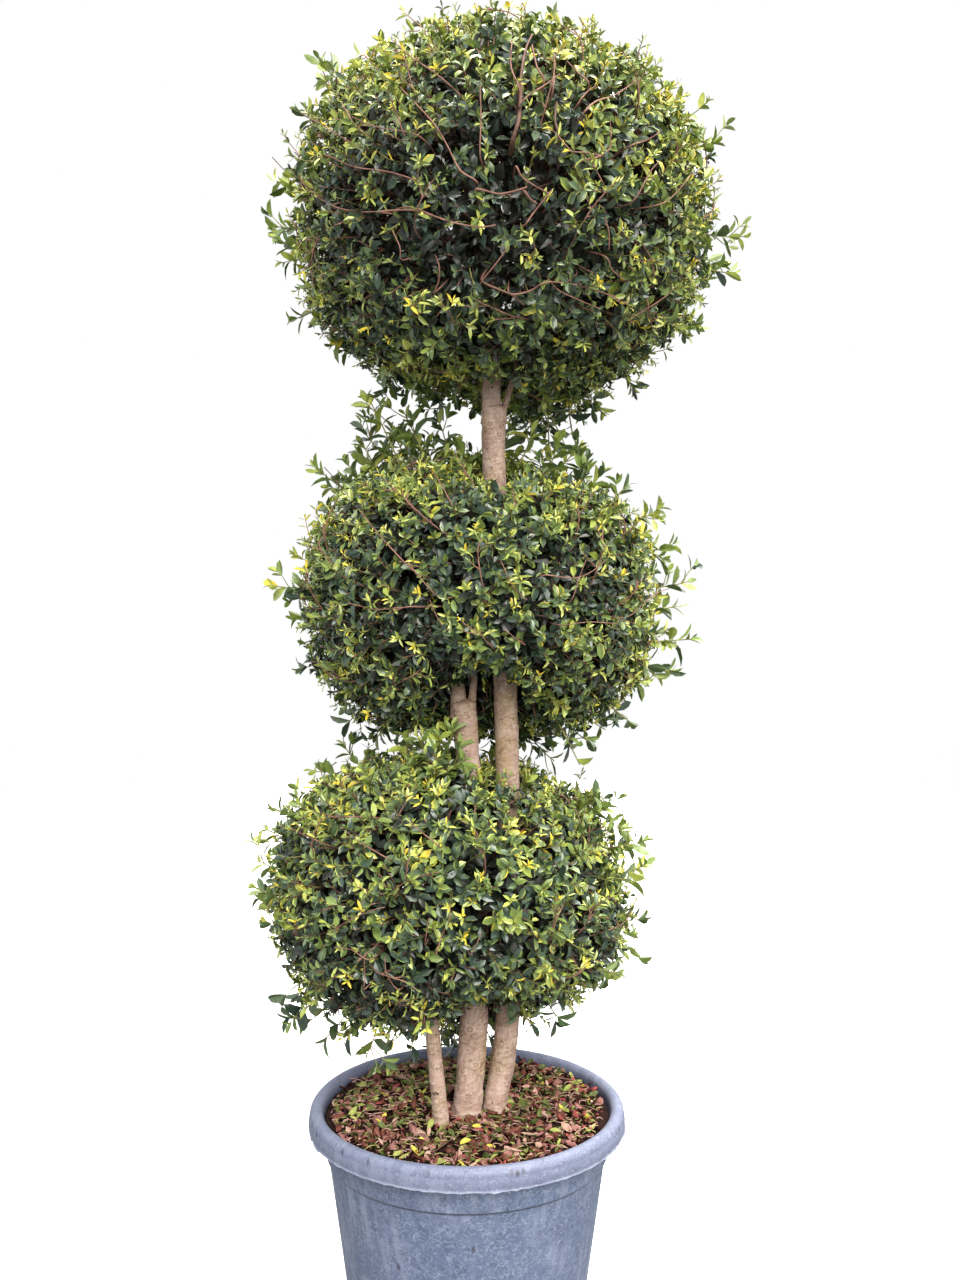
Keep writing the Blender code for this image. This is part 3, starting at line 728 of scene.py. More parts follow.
# Twigs of each kind, as (radii at foot and tip, sides, steps, kink)
TUBES = {
    "leaders": ((0.0052, 0.0030), 6, 8, 0.0),
    "twigs": ((0.0028, 0.0014), 3, 5, 0.0),
    "inner": ((0.0022, 0.0012), 3, 3, 0.0),
    "old": ((0.0015, 0.0008), 3, 3, 0.0),
    "runners": ((0.0012, 0.0008), 4, 9, 0.0005),
    "spurs": ((0.0009, 0.0006), 3, 4, 0.0003),
    "young": ((0.0012, 0.0006), 3, 3, 0.0),
    "tips": ((0.0012, 0.0006), 3, 5, 0.0),
    "sprigs": ((0.0017, 0.0008), 4, 8, 0.0),
    "fringe": ((0.0014, 0.0007), 3, 5, 0.0),
    "sprig_sides": ((0.0011, 0.0006), 3, 4, 0.0),
}

# Pieces of wood in a ball, as (slot, kinds of twig, whether with the thick or thin front twigs or none)
WOOD_PIECES = {
    "twigs": ("bark", ("leaders", "twigs", "inner"), True),
    "runners": ("bark", ("old", "runners", "spurs"), False),
    "shoots": ("leaves", ("young", "tips", "sprigs", "fringe", "sprig_sides"), None),
}

# Tones: what the light adds to an old shoot's as painted light, what the patches add, and what the depth adds
# as older leaves further in and painted shade in the pockets, where depth adds none, and those of other
# leaves
LIGHT_TONE = 0.14
PATCH_TONE = 0.21
DEPTH_TONE = 2.2
DEPTH_LEVEL = 0.945
LIGHT_RANGE = (-0.5, 1)

# The chance that a shoot is young: what light, patches and shade do to it
YOUNG_LIGHT = 0.10
YOUNG_PATCHES = 3.2
YOUNG_RANGE = (0.15, 3)
SHADED_YOUNG = 0.5
SHOOT_TONE_SPREAD = 0.17
# Inner leaves take the darkest tone, painted shade
INNER_TONE = -0.2
SPRIG_TONE = 0.49
DROOPING_TONE = 0.22
FRINGE_TONE = 0.46
PALEST_FRINGE = 0.64

# The tone of young shoots, its spread and its share of an old shoot's, and what patches, height, the front
# side and chance add to those of tips, fringe and sprigs: height adds painted light higher up, and the front
# side takes tone away as painted shade
YOUNG_TONE = 0.60
YOUNG_SPREAD = 0.36
YOUNG_SHARE = 0.10
TIP_PATCHES = 0.16
TIP_HEIGHT = 0.10
TIP_SPREAD = 0.12
FRINGE_PATCHES = 0.12
FRINGE_HEIGHT = 0.10
FRINGE_FRONT = 0.14
FRINGE_SPREAD = 0.10
SPRIG_SPREAD = 0.07

# Tones of leaves on bare twigs, as (middle, least and greatest amount added)
SPUR_TONE = (0.46, -0.25, 0.38)
RUNNER_TONE = (0.50, -0.2, 0.3)

# Sizes of the leaves on each kind of shoot, the fringe's being smaller on the front, and how much they face
# outwards
TIP_SIZE = 0.72
FRINGE_SIZE = 1.15
FRINGE_SHRINK = 0.55
SPRIG_SIZE = 1.08
DROOPING_SIZE = 1.20
SPRIG_SIDE_SIZE = 0.9
TIP_FACING = 0.1
FRINGE_FACING = 0.05

# Scales of the noise that makes patches and clusters
NOISE_SCALES = {"tone": 3.2, "young": 5.5, "reach": 6, "pockets": 7.5, "tips": 4, "fringe": 3}

# Pairs of leaves on each kind of shoot, as (distance from the tip, size, angle from the twig, tone added)
SPOTS = {
    "old": (
        (0.0010, 0.50, 26, 0.06),
        (0.0055, 0.72, 44, 0.03),
        (0.0130, 0.88, 56, 0.00),
        (0.0220, 0.95, 64, -0.03),
        (0.0330, 1.02, 70, -0.06),
    ),
    "young": (
        (0.0008, 0.38, 22, 0.12),
        (0.0036, 0.50, 40, 0.08),
        (0.0080, 0.60, 52, 0.00),
        (0.0140, 0.72, 60, -0.08),
    ),
    "below_young": ((0.024, 0.95, 60, 0.0), (0.034, 1.05, 66, -0.03)),
    "tips": (
        (0.0010, 0.50, 20, 0.10),
        (0.0060, 0.75, 34, 0.04),
        (0.0140, 0.95, 44, 0.00),
        (0.0240, 1.05, 52, -0.04),
        (0.0360, 1.10, 58, -0.08),
    ),
    "inner": ((0.004, 1.2, 42, 0.0), (0.020, 1.6, 58, 0.0), (0.040, 1.7, 66, 0.0)),
    "sprigs": (
        (0.0010, 0.84, 22, 0.08),
        (0.0085, 1.22, 36, 0.05),
        (0.0210, 1.44, 46, 0.02),
        (0.0350, 1.52, 52, 0.00),
        (0.0500, 1.52, 56, -0.02),
        (0.0660, 1.48, 60, -0.04),
        (0.0830, 1.42, 62, -0.07),
    ),
    "fringe": (
        (0.0010, 0.58, 20, 0.10),
        (0.0060, 0.90, 34, 0.06),
        (0.0150, 1.18, 44, 0.02),
        (0.0270, 1.30, 52, -0.02),
        (0.0400, 1.28, 56, -0.06),
    ),
    "runners": ((0.001, 0.48, 24, 0.16), (0.006, 0.70, 40, 0.08), (0.015, 0.90, 52, 0.00)),
}
# The way that the light comes from: the leaves' tones are paler that way as painted light, and young shoots
# grow more often there
LIGHT_FROM = (0.30, -0.15, 0.94)
UP = np.array((0.0, 0.0, 1.0))


# Vectors and noise

def unit(vectors):
    return vectors / np.linalg.norm(vectors, axis=-1, keepdims=True)


def dots(a, b):
    return np.sum(a * b, axis=-1, keepdims=True)


def level(turn, rise=0.0):
    """Directions at angles round the vertical, with a rise."""
    return np.stack(np.broadcast_arrays(np.cos(turn), np.sin(turn), rise), axis=-1)


def noise_at(points, scale, seed, octaves=1):
    """Smooth noise between about -1 and 1 at each point."""
    offset = Vector((seed * 7.31, seed * 3.17, seed * 1.93))
    values = np.zeros(len(points))
    for octave in range(octaves):
        zoom = scale * 2**octave
        sample = [noise.noise(Vector(point) * zoom + offset) for point in points]
        values += np.array(sample) / 2**octave
    return values


# Meshes

def mesh_piece(name, points, faces, material, nodes=(), sharp=None, values=None):
    """A piece from arrays of points and of corner numbers, with every face of one size.

    An edge is sharp where sharp is true at both of its points."""
    mesh = bpy.data.meshes.new(name)
    corners = faces.shape[1]
    mesh.vertices.add(len(points))
    mesh.vertices.foreach_set("co", np.ascontiguousarray(points, dtype=np.float32).ravel())
    mesh.loops.add(faces.size)
    mesh.loops.foreach_set("vertex_index", np.ascontiguousarray(faces, dtype=np.int32).ravel())
    mesh.polygons.add(len(faces))
    mesh.polygons.foreach_set("loop_start", np.arange(0, faces.size, corners, dtype=np.int32))
    mesh.update(calc_edges=True)
    mesh.shade_smooth()
    if sharp is not None and sharp.any():
        ends = np.empty(len(mesh.edges) * 2, dtype=np.int32)
        mesh.edges.foreach_get("vertices", ends)
        marks = mesh.attributes.new("sharp_edge", "BOOLEAN", "EDGE")
        marks.data.foreach_set("value", sharp[ends.reshape(-1, 2)].all(axis=1))
    for label, data in (values or {}).items():
        layer = mesh.attributes.new(label, "FLOAT", "POINT")
        layer.data.foreach_set("value", np.ascontiguousarray(data, dtype=np.float32))
    return finished_piece(name, mesh, material, nodes)


def finished_piece(name, mesh, material, nodes=()):
    """Puts the mesh in the scene as a piece of the part, in place of the nodes that it stands for."""
    mesh.materials.clear()
    mesh.materials.append(material)
    obj = bpy.data.objects.new(name, mesh)
    bpy.context.scene.collection.objects.link(obj)
    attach(obj, BODY)
    if nodes:
        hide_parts(*nodes)
    return obj


def grid_faces(rows, columns):
    """Quads between the rows of a grid whose columns close into a ring."""
    row, column = np.meshgrid(np.arange(rows - 1), np.arange(columns), indexing="ij")
    here = row * columns + column
    after = row * columns + (column + 1) % columns
    corners = (here, after, after + columns, here + columns)
    return np.stack([corner.ravel() for corner in corners], axis=1)


def tube_faces(steps, sides):
    """Triangles between the rings of a tube."""
    quads = grid_faces(steps, sides)
    return np.concatenate((quads[:, (0, 1, 2)], quads[:, (0, 2, 3)]))


def fill_rings(mesh, sides):
    """Closes the open rings of a mesh that have up to a number of sides."""
    work = bmesh.new()
    work.from_mesh(mesh)
    bmesh.ops.holes_fill(work, edges=[edge for edge in work.edges if edge.is_boundary], sides=sides)
    work.to_mesh(mesh)
    work.free()


class Joined:
    """Many small shapes gathered into one mesh."""

    def __init__(self):
        self.points = []
        self.faces = []
        self.sharp = []
        self.count = 0

    def add(self, points, faces, sharp=None):
        """Adds copies of a shape: points (copies, corners, 3), and one copy's faces and sharp points."""
        copies, corners = points.shape[:2]
        self.sharp.append(np.zeros(copies * corners, dtype=bool) if sharp is None else np.tile(sharp, copies))
        starts = self.count + np.arange(copies) * corners
        self.points.append(points.reshape(-1, 3))
        self.faces.append((faces[None] + starts[:, None, None]).reshape(-1, faces.shape[1]))
        self.count += copies * corners

    def build(self, name, material, slot, nodes=()):
        points, faces, sharp = (np.concatenate(part) for part in (self.points, self.faces, self.sharp))
        return mesh_piece(name, points, faces, material, nodes, sharp)


def tube_points(lines, radii, sides):
    """Rings round each line: lines (copies, steps, 3), radii (copies, steps)."""
    along = unit(np.gradient(lines, axis=1))
    chord = unit(lines[:, -1] - lines[:, 0])
    helper = np.where(np.abs(chord[:, 2:]) < 0.8, (0.0, 0.0, 1.0), (1.0, 0.0, 0.0))[:, None]
    side = unit(np.cross(along, np.broadcast_to(helper, along.shape)))
    other = np.cross(along, side)
    turn = np.arange(sides) * 2 * math.pi / sides
    ring = side[:, :, None] * np.cos(turn)[:, None] + other[:, :, None] * np.sin(turn)[:, None]
    points = lines[:, :, None] + ring * radii[:, :, None, None]
    return points.reshape(len(lines), -1, 3)


# Materials

class Look:
    """A material's nodes, made one after another."""

    def __init__(self, name, roughness, **settings):
        self.material = bpy.data.materials.new(name)
        self.material.use_nodes = True
        self.tree = self.material.node_tree
        self.shader = self.tree.nodes["Principled BSDF"]
        self.set("Roughness", roughness)
        for label, value in settings.items():
            self.set(label.replace("_", " "), value)
        self.place = self.tree.nodes.new("ShaderNodeTexCoord").outputs["Object"]

    def set(self, label, value):
        self.shader.inputs[label].default_value = value

    def node(self, kind, inputs, **settings):
        made = self.tree.nodes.new(kind)
        for label, value in settings.items():
            setattr(made, label, value)
        for label, value in inputs.items():
            if isinstance(value, bpy.types.NodeSocket):
                self.tree.links.new(value, made.inputs[label])
            else:
                made.inputs[label].default_value = value
        return made

    def noise(self, scale, detail=2.0, stretch=(1, 1, 1), distortion=0.0, roughness=0.5):
        where = self.node("ShaderNodeMapping", {"Vector": self.place, "Scale": stretch}).outputs["Vector"]
        inputs = {
            "Vector": where,
            "Scale": scale,
            "Detail": detail,
            "Distortion": distortion,
            "Roughness": roughness,
        }
        return self.node("ShaderNodeTexNoise", inputs).outputs["Fac"]

    def distance(self, centre, stretch=(1, 1, 1)):
        """How far a place is from a centre, in metres, with some axes counted less."""
        mapping = {"Vector": self.place, "Scale": stretch}
        where = self.node("ShaderNodeMapping", mapping).outputs["Vector"]
        made = self.node("ShaderNodeVectorMath", {}, operation="DISTANCE")
        self.tree.links.new(where, made.inputs[0])
        made.inputs[1].default_value = [place * share for place, share in zip(centre, stretch)]
        return made.outputs["Value"]

    def value(self, name):
        """A value that the mesh carries at its points."""
        return self.node("ShaderNodeAttribute", {}, attribute_name=name).outputs["Fac"]

    def ramp(self, factor, stops):
        """Colours, or numbers as greys, at places along a factor."""
        made = self.node("ShaderNodeValToRGB", {"Fac": factor})
        elements = made.color_ramp.elements
        while len(elements) < len(stops):
            elements.new(0.5)
        for element, (place, color) in zip(elements, stops):
            element.position = place
            element.color = (*color, 1.0) if isinstance(color, tuple) else (color, color, color, 1.0)
        return made.outputs["Color"]

    def mix(self, factor, a, b, mode="MIX"):
        made = self.tree.nodes.new("ShaderNodeMix")
        made.data_type = "RGBA"
        made.blend_type = mode
        for index, value in ((0, factor), (6, a), (7, b)):
            if isinstance(value, bpy.types.NodeSocket):
                self.tree.links.new(value, made.inputs[index])
            elif index == 0:
                made.inputs[index].default_value = value
            else:
                made.inputs[index].default_value = (*value, 1.0)
        return made.outputs[2]

    def color(self, socket):
        self.tree.links.new(socket, self.shader.inputs["Base Color"])

    def rough(self, socket):
        self.tree.links.new(socket, self.shader.inputs["Roughness"])

    def bump(self, height, distance, strength=1.0):
        inputs = {"Height": height, "Distance": distance, "Strength": strength}
        last = self.shader.inputs["Normal"]
        if last.links:
            inputs["Normal"] = last.links[0].from_socket
        self.tree.links.new(self.node("ShaderNodeBump", inputs).outputs["Normal"], last)


def pot_material():
    """Weathered blue-grey plastic: mottled, with curly pale strokes, upright streaks and a few nicks.

    Its flash and edges are paler where worn, the top of the rim has a painted highlight, and the lip's
    underside, the band's foot and the inside have painted shade.
    """
    look = Look("weathered_plastic", 0.5)
    mottle = look.noise(60, 5, roughness=0.7)
    color = look.ramp(mottle, [(0.30, POT_COLORS["low"]), (0.70, POT_COLORS["high"])])
    lilac = look.ramp(look.noise(11, 3), [(0.38, 0.0), (0.68, 0.5)])
    streaks = look.ramp(look.noise(75, 3, stretch=(1, 1, 0.05)), [(0.46, 0.0), (0.62, 1.0)])
    sparse = look.ramp(look.noise(10, 2), [(0.42, 0.0), (0.58, 1.0)])
    strokes = look.ramp(look.noise(112, 1, distortion=1.0), [(0.435, 0.0), (0.50, 1.0), (0.565, 0.0)])
    patchy = look.ramp(look.noise(40, 3), [(0.36, 0.40), (0.62, 0.85)])
    strokes = look.mix(1.0, strokes, patchy, "MULTIPLY")
    creases = look.ramp(look.noise(120, 2, distortion=1.2), [(0.32, 0.50), (0.42, 0.0)])
    specks = look.ramp(look.noise(220, 1), [(0.68, 0.0), (0.76, 0.5)])
    holes = look.ramp(look.noise(120, 2, distortion=0.6), [(0.225, 0.9), (0.255, 0.0)])
    cracks = look.noise(48, 3, stretch=(1, 1, 0.6), distortion=1.2)
    cracks = look.ramp(cracks, [(0.250, 0.8), (0.300, 0.0)])
    layers = {
        "lilac": lilac,
        "streaks": look.mix(1.0, streaks, sparse, "MULTIPLY"),
        "strokes": strokes,
        "creases": creases,
        "rim": look.ramp(look.value("rim"), [(0.0, 0.0), (1.0, 0.35)]),
        "specks": specks,
        "holes": holes,
        "cracks": look.mix(1.0, cracks, look.value("rim"), "MULTIPLY"),
    }
    for name, share in layers.items():
        color = look.mix(share, color, POT_COLORS[name])
    for angle, height, size in NICKS:
        near = RIM_RADIUS if height > POT_HEIGHT - RIM_DROP else body_radius(height)
        turn = math.radians(angle)
        far = look.distance((near * math.cos(turn), near * math.sin(turn), height), (1, 1, 0.55))
        nick = look.ramp(far, [(0.35 * size, 1.0), (0.6 * size, 0.0)])
        color = look.mix(nick, color, POT_COLORS["nicks"])
    # Painted shade, then wear with a painted highlight, from values that the mesh carries
    for name in ("painted_shade", "wear_and_highlight"):
        color = look.mix(look.value(name), color, POT_COLORS[name])
    look.color(color)
    look.rough(look.ramp(look.noise(60, 3), [(0.3, 0.38), (0.7, 0.58)]))
    look.bump(strokes, 0.0005, 0.6)
    look.bump(look.noise(90, 4), 0.0016, 0.5)
    look.bump(holes, -0.0006, 0.6)
    return look.material


def bark_material():
    """Pinkish tan bark with ochre patches, fine level wrinkles and small dark dots, with painted shade in its
    grooves and hollows and a painted highlight on its ridges and raised parts.
    """
    look = Look("pale_bark", 0.80)
    stops = [(0.30, BARK_COLORS["low"]), (0.52, BARK_COLORS["middle"]), (0.74, BARK_COLORS["high"])]
    color = look.ramp(look.noise(42, 5, roughness=0.65), stops)
    wrinkles = look.noise(75, 3, stretch=(1, 1, 3.5), distortion=0.8, roughness=0.6)
    layers = {
        "ochre": look.ramp(look.noise(20, 3), [(0.48, 0.0), (0.66, 0.65)]),
        # The wrinkles' low parts take painted shade and their high parts a painted highlight, as their bump
        # does
        "painted_groove_shade": look.ramp(wrinkles, [(0.30, 0.50), (0.45, 0.0)]),
        "painted_ridge_highlight": look.ramp(wrinkles, [(0.56, 0.0), (0.72, 0.35)]),
        # Painted shade in the hollows and scars, carried by the mesh
        "painted_hollow_shade": look.value("painted_hollow_shade"),
        # Painted highlight on the raised bark and the scars' rims, carried by the mesh
        "raised": look.value("raised"),
        "dots": look.ramp(look.noise(150, 1), [(0.245, 0.9), (0.275, 0.0)]),
    }
    for name, share in layers.items():
        color = look.mix(share, color, BARK_COLORS[name])
    look.color(color)
    look.bump(wrinkles, 0.0014, 0.8)
    look.bump(look.noise(260, 3), 0.0006, 0.6)
    return look.material


def wood_material(name):
    """Twig bark between two colours."""
    look = Look(name, 0.62)
    low, high = WOODS[name]
    look.color(look.ramp(look.noise(60, 3), [(0.32, low), (0.68, high)]))
    look.bump(look.noise(500, 2), 0.0003, 0.5)
    return look.material


def leaf_material(name, color, roughness):
    """A glossy leaf whose colour varies a little from place to place."""
    look = Look(name, roughness, Coat_Weight=0.9, Coat_Roughness=0.36)
    low = tuple(channel * 0.78 for channel in color)
    high = tuple(min(1.0, channel * 1.22) for channel in color)
    look.color(look.ramp(look.noise(70, 2), [(0.32, low), (0.68, high)]))
    look.bump(look.noise(420, 2), 0.0005, 0.35)
    return look.material


def litter_material(name, low, high, roughness=0.85):
    """Dull crumbs between two colours."""
    look = Look(name, roughness, Specular_IOR_Level=0.15)
    look.color(look.ramp(look.noise(130, 4), [(0.30, low), (0.70, high)]))
    look.bump(look.noise(600, 4), 0.0006, 0.7)
    return look.material


# Camera, floor and light

def build_stage():
    scene = bpy.context.scene
    scene.view_settings.view_transform = "Standard"
    camera = bpy.data.cameras.new("camera")
    camera.lens = CAMERA_LENS
    camera.sensor_width = SENSOR_WIDTH
    holder = bpy.data.objects.new("camera", camera)
    holder.location = CAMERA_PLACE
    holder.rotation_euler = (math.pi / 2, 0, 0)
    scene.collection.objects.link(holder)
    scene.camera = holder
    for name, (way, strength, size, color) in LAMPS.items():
        sun = bpy.data.lights.new(name, "SUN")
        sun.energy = strength
        sun.angle = math.radians(size)
        sun.color = color
        lamp = bpy.data.objects.new(name, sun)
        lamp.rotation_euler = Vector(way).to_track_quat("-Z", "Y").to_euler()
        scene.collection.objects.link(lamp)
    build_floor()
    build_sky()


def build_floor():
    work = bmesh.new()
    bmesh.ops.create_circle(work, cap_ends=True, segments=FLOOR_STEPS, radius=FLOOR_RADIUS)
    mesh = bpy.data.meshes.new("floor")
    work.to_mesh(mesh)
    work.free()
    look = Look("pale_floor", 0.9, Emission_Color=(1, 1, 1, 1), Emission_Strength=FLOOR_GLOW)
    brighter = tuple(channel * 1.02 for channel in FLOOR_COLOR)
    look.color(look.ramp(look.noise(3, 2), [(0.3, FLOOR_COLOR), (0.7, brighter)]))
    mesh.materials.append(look.material)
    floor = bpy.data.objects.new("floor", mesh)
    bpy.context.scene.collection.objects.link(floor)
    floor.visible_diffuse = False
    floor.visible_glossy = False


def build_sky():
    """Soft light from above, with plain white behind the plant."""
    world = bpy.data.worlds.new("sky")
    world.use_nodes = True
    tree = world.node_tree
    tree.nodes.clear()
    place, split, spread, ramp, light, white, seen, both, out = (
        tree.nodes.new("ShaderNode" + kind)
        for kind in (
            "TexCoord", "SeparateXYZ", "MapRange", "ValToRGB", "Background", "Background", "LightPath",
            "MixShader", "OutputWorld",
        )
    )
    spread.inputs["From Min"].default_value = -1.0
    for element, position, color in zip(ramp.color_ramp.elements, (0.42, 0.75), (GROUND_COLOR, SKY_COLOR)):
        element.position = position
        element.color = (*color, 1)
    light.inputs["Strength"].default_value = SKY_STRENGTH
    white.inputs["Color"].default_value = (1, 1, 1, 1)
    for source, target in (
        (place.outputs["Generated"], split.inputs[0]),
        (split.outputs["Z"], spread.inputs["Value"]),
        (spread.outputs["Result"], ramp.inputs["Fac"]),
        (ramp.outputs["Color"], light.inputs["Color"]),
        (seen.outputs["Is Camera Ray"], both.inputs[0]),
        (light.outputs[0], both.inputs[1]),
        (white.outputs[0], both.inputs[2]),
        (both.outputs[0], out.inputs["Surface"]),
    ):
        tree.links.new(source, target)
    bpy.context.scene.world = world


# Pot

def body_radius(z):
    """The pot body's outer radius at height z."""
    return BODY_TOP_RADIUS - BODY_TAPER * (POT_HEIGHT - z)


def arc(steps, start, end):
    return [math.radians(start + (end - start) * i / steps) for i in range(steps + 1)]


def pot_profile():
    """Rows of (radius, height, wear and painted highlight, painted shade, ragged, rim), from the floor inside
    to the foot outside.
    """
    lip = POT_HEIGHT - RIM_DROP
    band = POT_HEIGHT - BAND_DROP
    middle = (RIM_RADIUS + RIM_INNER_RADIUS) / 2
    half = (RIM_RADIUS - RIM_INNER_RADIUS) / 2
    base = POT_HEIGHT - RIM_ROLL_HEIGHT
    foot = body_radius(0) - FOOT_ROUND

    def edge(radius, height, offsets):
        return [(radius + out, height + up, *marks) for out, up, *marks in offsets]

    rows = [(AXIS_HOLE, POT_FLOOR, 0, 0, 0, 0), (body_radius(POT_FLOOR) - POT_WALL, POT_FLOOR, 0, 0, 0, 0)]
    inside = np.linspace(INSIDE_START, lip, INSIDE_ROWS)
    # The inside gets painted shade, more of it just under the roll
    rows += [(body_radius(z) - POT_WALL, z, 0, 0.3, 0, 0) for z in inside]
    rows += [(RIM_INNER_RADIUS - 0.0008, base - 0.0025, 0, 0.55, 0, 0)]
    # The roll is paler towards its top, a painted highlight
    rows += [
        (middle + half * math.cos(a), base + RIM_ROLL_HEIGHT * math.sin(a), 0.16 * math.sin(a), 0, 0, 1)
        for a in arc(ROLL_ROWS, 180, 0)
    ]
    for t in (i / BULGE_ROWS for i in range(1, BULGE_ROWS)):
        rows.append((RIM_RADIUS + RIM_BULGE * math.sin(math.pi * t), base + (lip - base) * t, 0.08, 0, 0, 1))
    rows += edge(RIM_RADIUS, lip, FLASH_ROWS)
    rows += edge(body_radius(lip) + BAND_STEP, lip, UNDERCUT_ROWS)
    # The band is darkened just under the lip with painted shade
    for z in np.linspace(lip + 0.002, band + 0.0014, BAND_ROWS):
        rows.append((body_radius(z) + BAND_STEP, z, 0, 0.9 * max(0.0, (z - lip + 0.006) / 0.006), 0, 0))
    rows += edge(body_radius(band), band, BAND_FOOT_ROWS)
    rows += [(body_radius(z), z, 0, 0, 0, 0) for z in np.linspace(band - 0.0045, BODY_END, BODY_ROWS)]
    rows += [
        (foot + FOOT_ROUND * math.cos(a), FOOT_ROUND * (1 - math.sin(a)), 0.1, 0, 0, 0)
        for a in arc(FOOT_ROWS, 0, 90)
    ]
    rows.append((AXIS_HOLE, 0.0, 0, 0, 0, 0))
    return np.array(rows)


def build_pot(material):
    radii, heights, wear_and_highlight, painted_shade, ragged, rim = pot_profile().T[..., None]
    turn = np.arange(POT_SIDES) * 2 * math.pi / POT_SIDES
    circle = level(turn)
    coarse, fine = RAGGED_SCALES
    flaws = noise_at(circle, coarse, 3, 2) + FINE_RAGGED * noise_at(circle, fine, 5)
    radius = radii * (1 + POT_WAVE * noise_at(circle, WAVE_SCALE, 8))
    radius = radius + ragged * flaws * FLASH_RAGGED * RAGGED_OUTWARD
    height = heights - ragged * np.abs(flaws) * FLASH_RAGGED
    points = np.stack((radius * np.cos(turn), radius * np.sin(turn), height), axis=-1).reshape(-1, 3)
    faces = grid_faces(len(radii), POT_SIDES)[:, ::-1]
    wear_and_highlight = wear_and_highlight * (1 + WEAR_AND_HIGHLIGHT_SPREAD * noise_at(circle, WEAR_AND_HIGHLIGHT_SCALE, 4))
    # The wear and painted highlight, the painted shade and the rim, as values at the points
    values = {
        "wear_and_highlight": wear_and_highlight.clip(0, 1).ravel(),
        "painted_shade": np.repeat(painted_shade, POT_SIDES),
        "rim": np.repeat(rim, POT_SIDES),
    }
    pot = mesh_piece("pot_shell", points, faces, material, ("pot",), values=values)
    cut_drains(pot)


def cut_drains(pot):
    """Cuts the drain holes through the pot's floor and closes the two small rings at its axis."""
    fill_rings(pot.data, POT_SIDES)
    cutters = bpy.data.collections.new("drains")
    bpy.context.scene.collection.children.link(cutters)
    for i in range(DRAIN_HOLES):
        angle = 2 * math.pi * i / DRAIN_HOLES
        place = (DRAIN_CIRCLE * math.cos(angle), DRAIN_CIRCLE * math.sin(angle), 0)
        size = {"radius1": DRAIN_RADIUS, "radius2": DRAIN_RADIUS, "depth": 6 * POT_FLOOR}
        work = bmesh.new()
        bmesh.ops.create_cone(work, cap_ends=True, segments=DRAIN_SIDES, **size)
        bmesh.ops.translate(work, verts=work.verts, vec=place)
        mesh = bpy.data.meshes.new("drain")
        work.to_mesh(mesh)
        work.free()
        cutters.objects.link(bpy.data.objects.new("drain", mesh))
    drain = pot.modifiers.new("drain", "BOOLEAN")
    drain.operation = "DIFFERENCE"
    drain.operand_type = "COLLECTION"
    drain.collection = cutters
    graph = bpy.context.evaluated_depsgraph_get()
    cut = bpy.data.meshes.new_from_object(pot.evaluated_get(graph), depsgraph=graph)
    pot.modifiers.clear()
    pot.data = cut
    for cutter in list(cutters.objects):
        bpy.data.objects.remove(cutter, do_unlink=True)
    bpy.data.collections.remove(cutters)


# Soil and litter

def soil_height(x, y):
    """The soil's surface, a little lower round the stems."""
    places = np.stack((x, y, np.zeros_like(x)), axis=-1).reshape(-1, 3)
    relief = noise_at(places, SOIL_GRAIN, 6, 3).reshape(x.shape)
    dip_x, dip_y, depth, spread = SOIL_DIP
    dip = depth * np.exp(-((x - dip_x) ** 2 + (y - dip_y) ** 2) / spread**2)
    return SOIL_TOP + SOIL_RELIEF * relief - dip


def build_soil(material):
    turn = np.arange(SOIL_SIDES) * 2 * math.pi / SOIL_SIDES
    spread = np.linspace(0.0008, SOIL_RADIUS, SOIL_RINGS)[:, None]
    x, y = spread * np.cos(turn), spread * np.sin(turn)
    top = soil_height(x, y)
    skirt = np.stack((x[-1], y[-1], np.full(SOIL_SIDES, SOIL_TOP - SOIL_SKIRT)), axis=-1)
    points = np.concatenate((np.stack((x, y, top), axis=-1).reshape(-1, 3), skirt))
    faces = grid_faces(SOIL_RINGS + 1, SOIL_SIDES)
    soil = mesh_piece("soil_relief", points, faces, material, ("soil",))
    fill_rings(soil.data, SOIL_SIDES)


def scattered(count, rng, margin, right=0.0):
    """Places on the soil, clear of the stems: evenly over its area, or a share of them moved to the right."""
    spread = np.sqrt(rng.uniform(0, 1, count)) * (SOIL_RADIUS - margin)
    turn = rng.uniform(0, 2 * math.pi, count)
    places = np.stack((spread * np.cos(turn), spread * np.sin(turn)), axis=1)
    moved = rng.uniform(0, 1, count) < right
    places[moved, 0] = np.abs(places[moved, 0])
    for line in STEM_LINES.values():
        x, y, _, radius = line[0]
        away = places - (x, y)
        far = np.linalg.norm(away, axis=1, keepdims=True)
        nearest = radius + 0.5 * margin
        places = np.where(far < nearest, (x, y) + away / far * nearest, places)
    return places


def lying(count, rng, tilt):
    """Three axes for each of a number of flat shapes that lie about, tilted by up to an angle."""
    lean = rng.normal(0, math.tan(math.radians(tilt)) * 0.6, (count, 3)) * (1, 1, 0.2)
    normal = unit(UP + lean)
    along = level(rng.uniform(0, 2 * math.pi, count))
    along = unit(along - normal * dots(along, normal))
    return along, np.cross(normal, along), normal


def chip_faces(sides):
    """A flat chip: two rings of corners, closed above and below by fans from their first corner."""
    faces = []
    for i in range(sides):
        j = (i + 1) % sides
        faces += [(i, j, sides + j), (i, sides + j, sides + i)]
    for i in range(1, sides - 1):
        faces += [(0, i + 1, i), (sides, sides + i, sides + i + 1)]
    return np.array(faces)


def on_soil(places, rise):
    """The places with their height over the soil's surface added."""
    return np.concatenate((places, (soil_height(places[:, 0], places[:, 1]) + rise)[:, None]), axis=1)


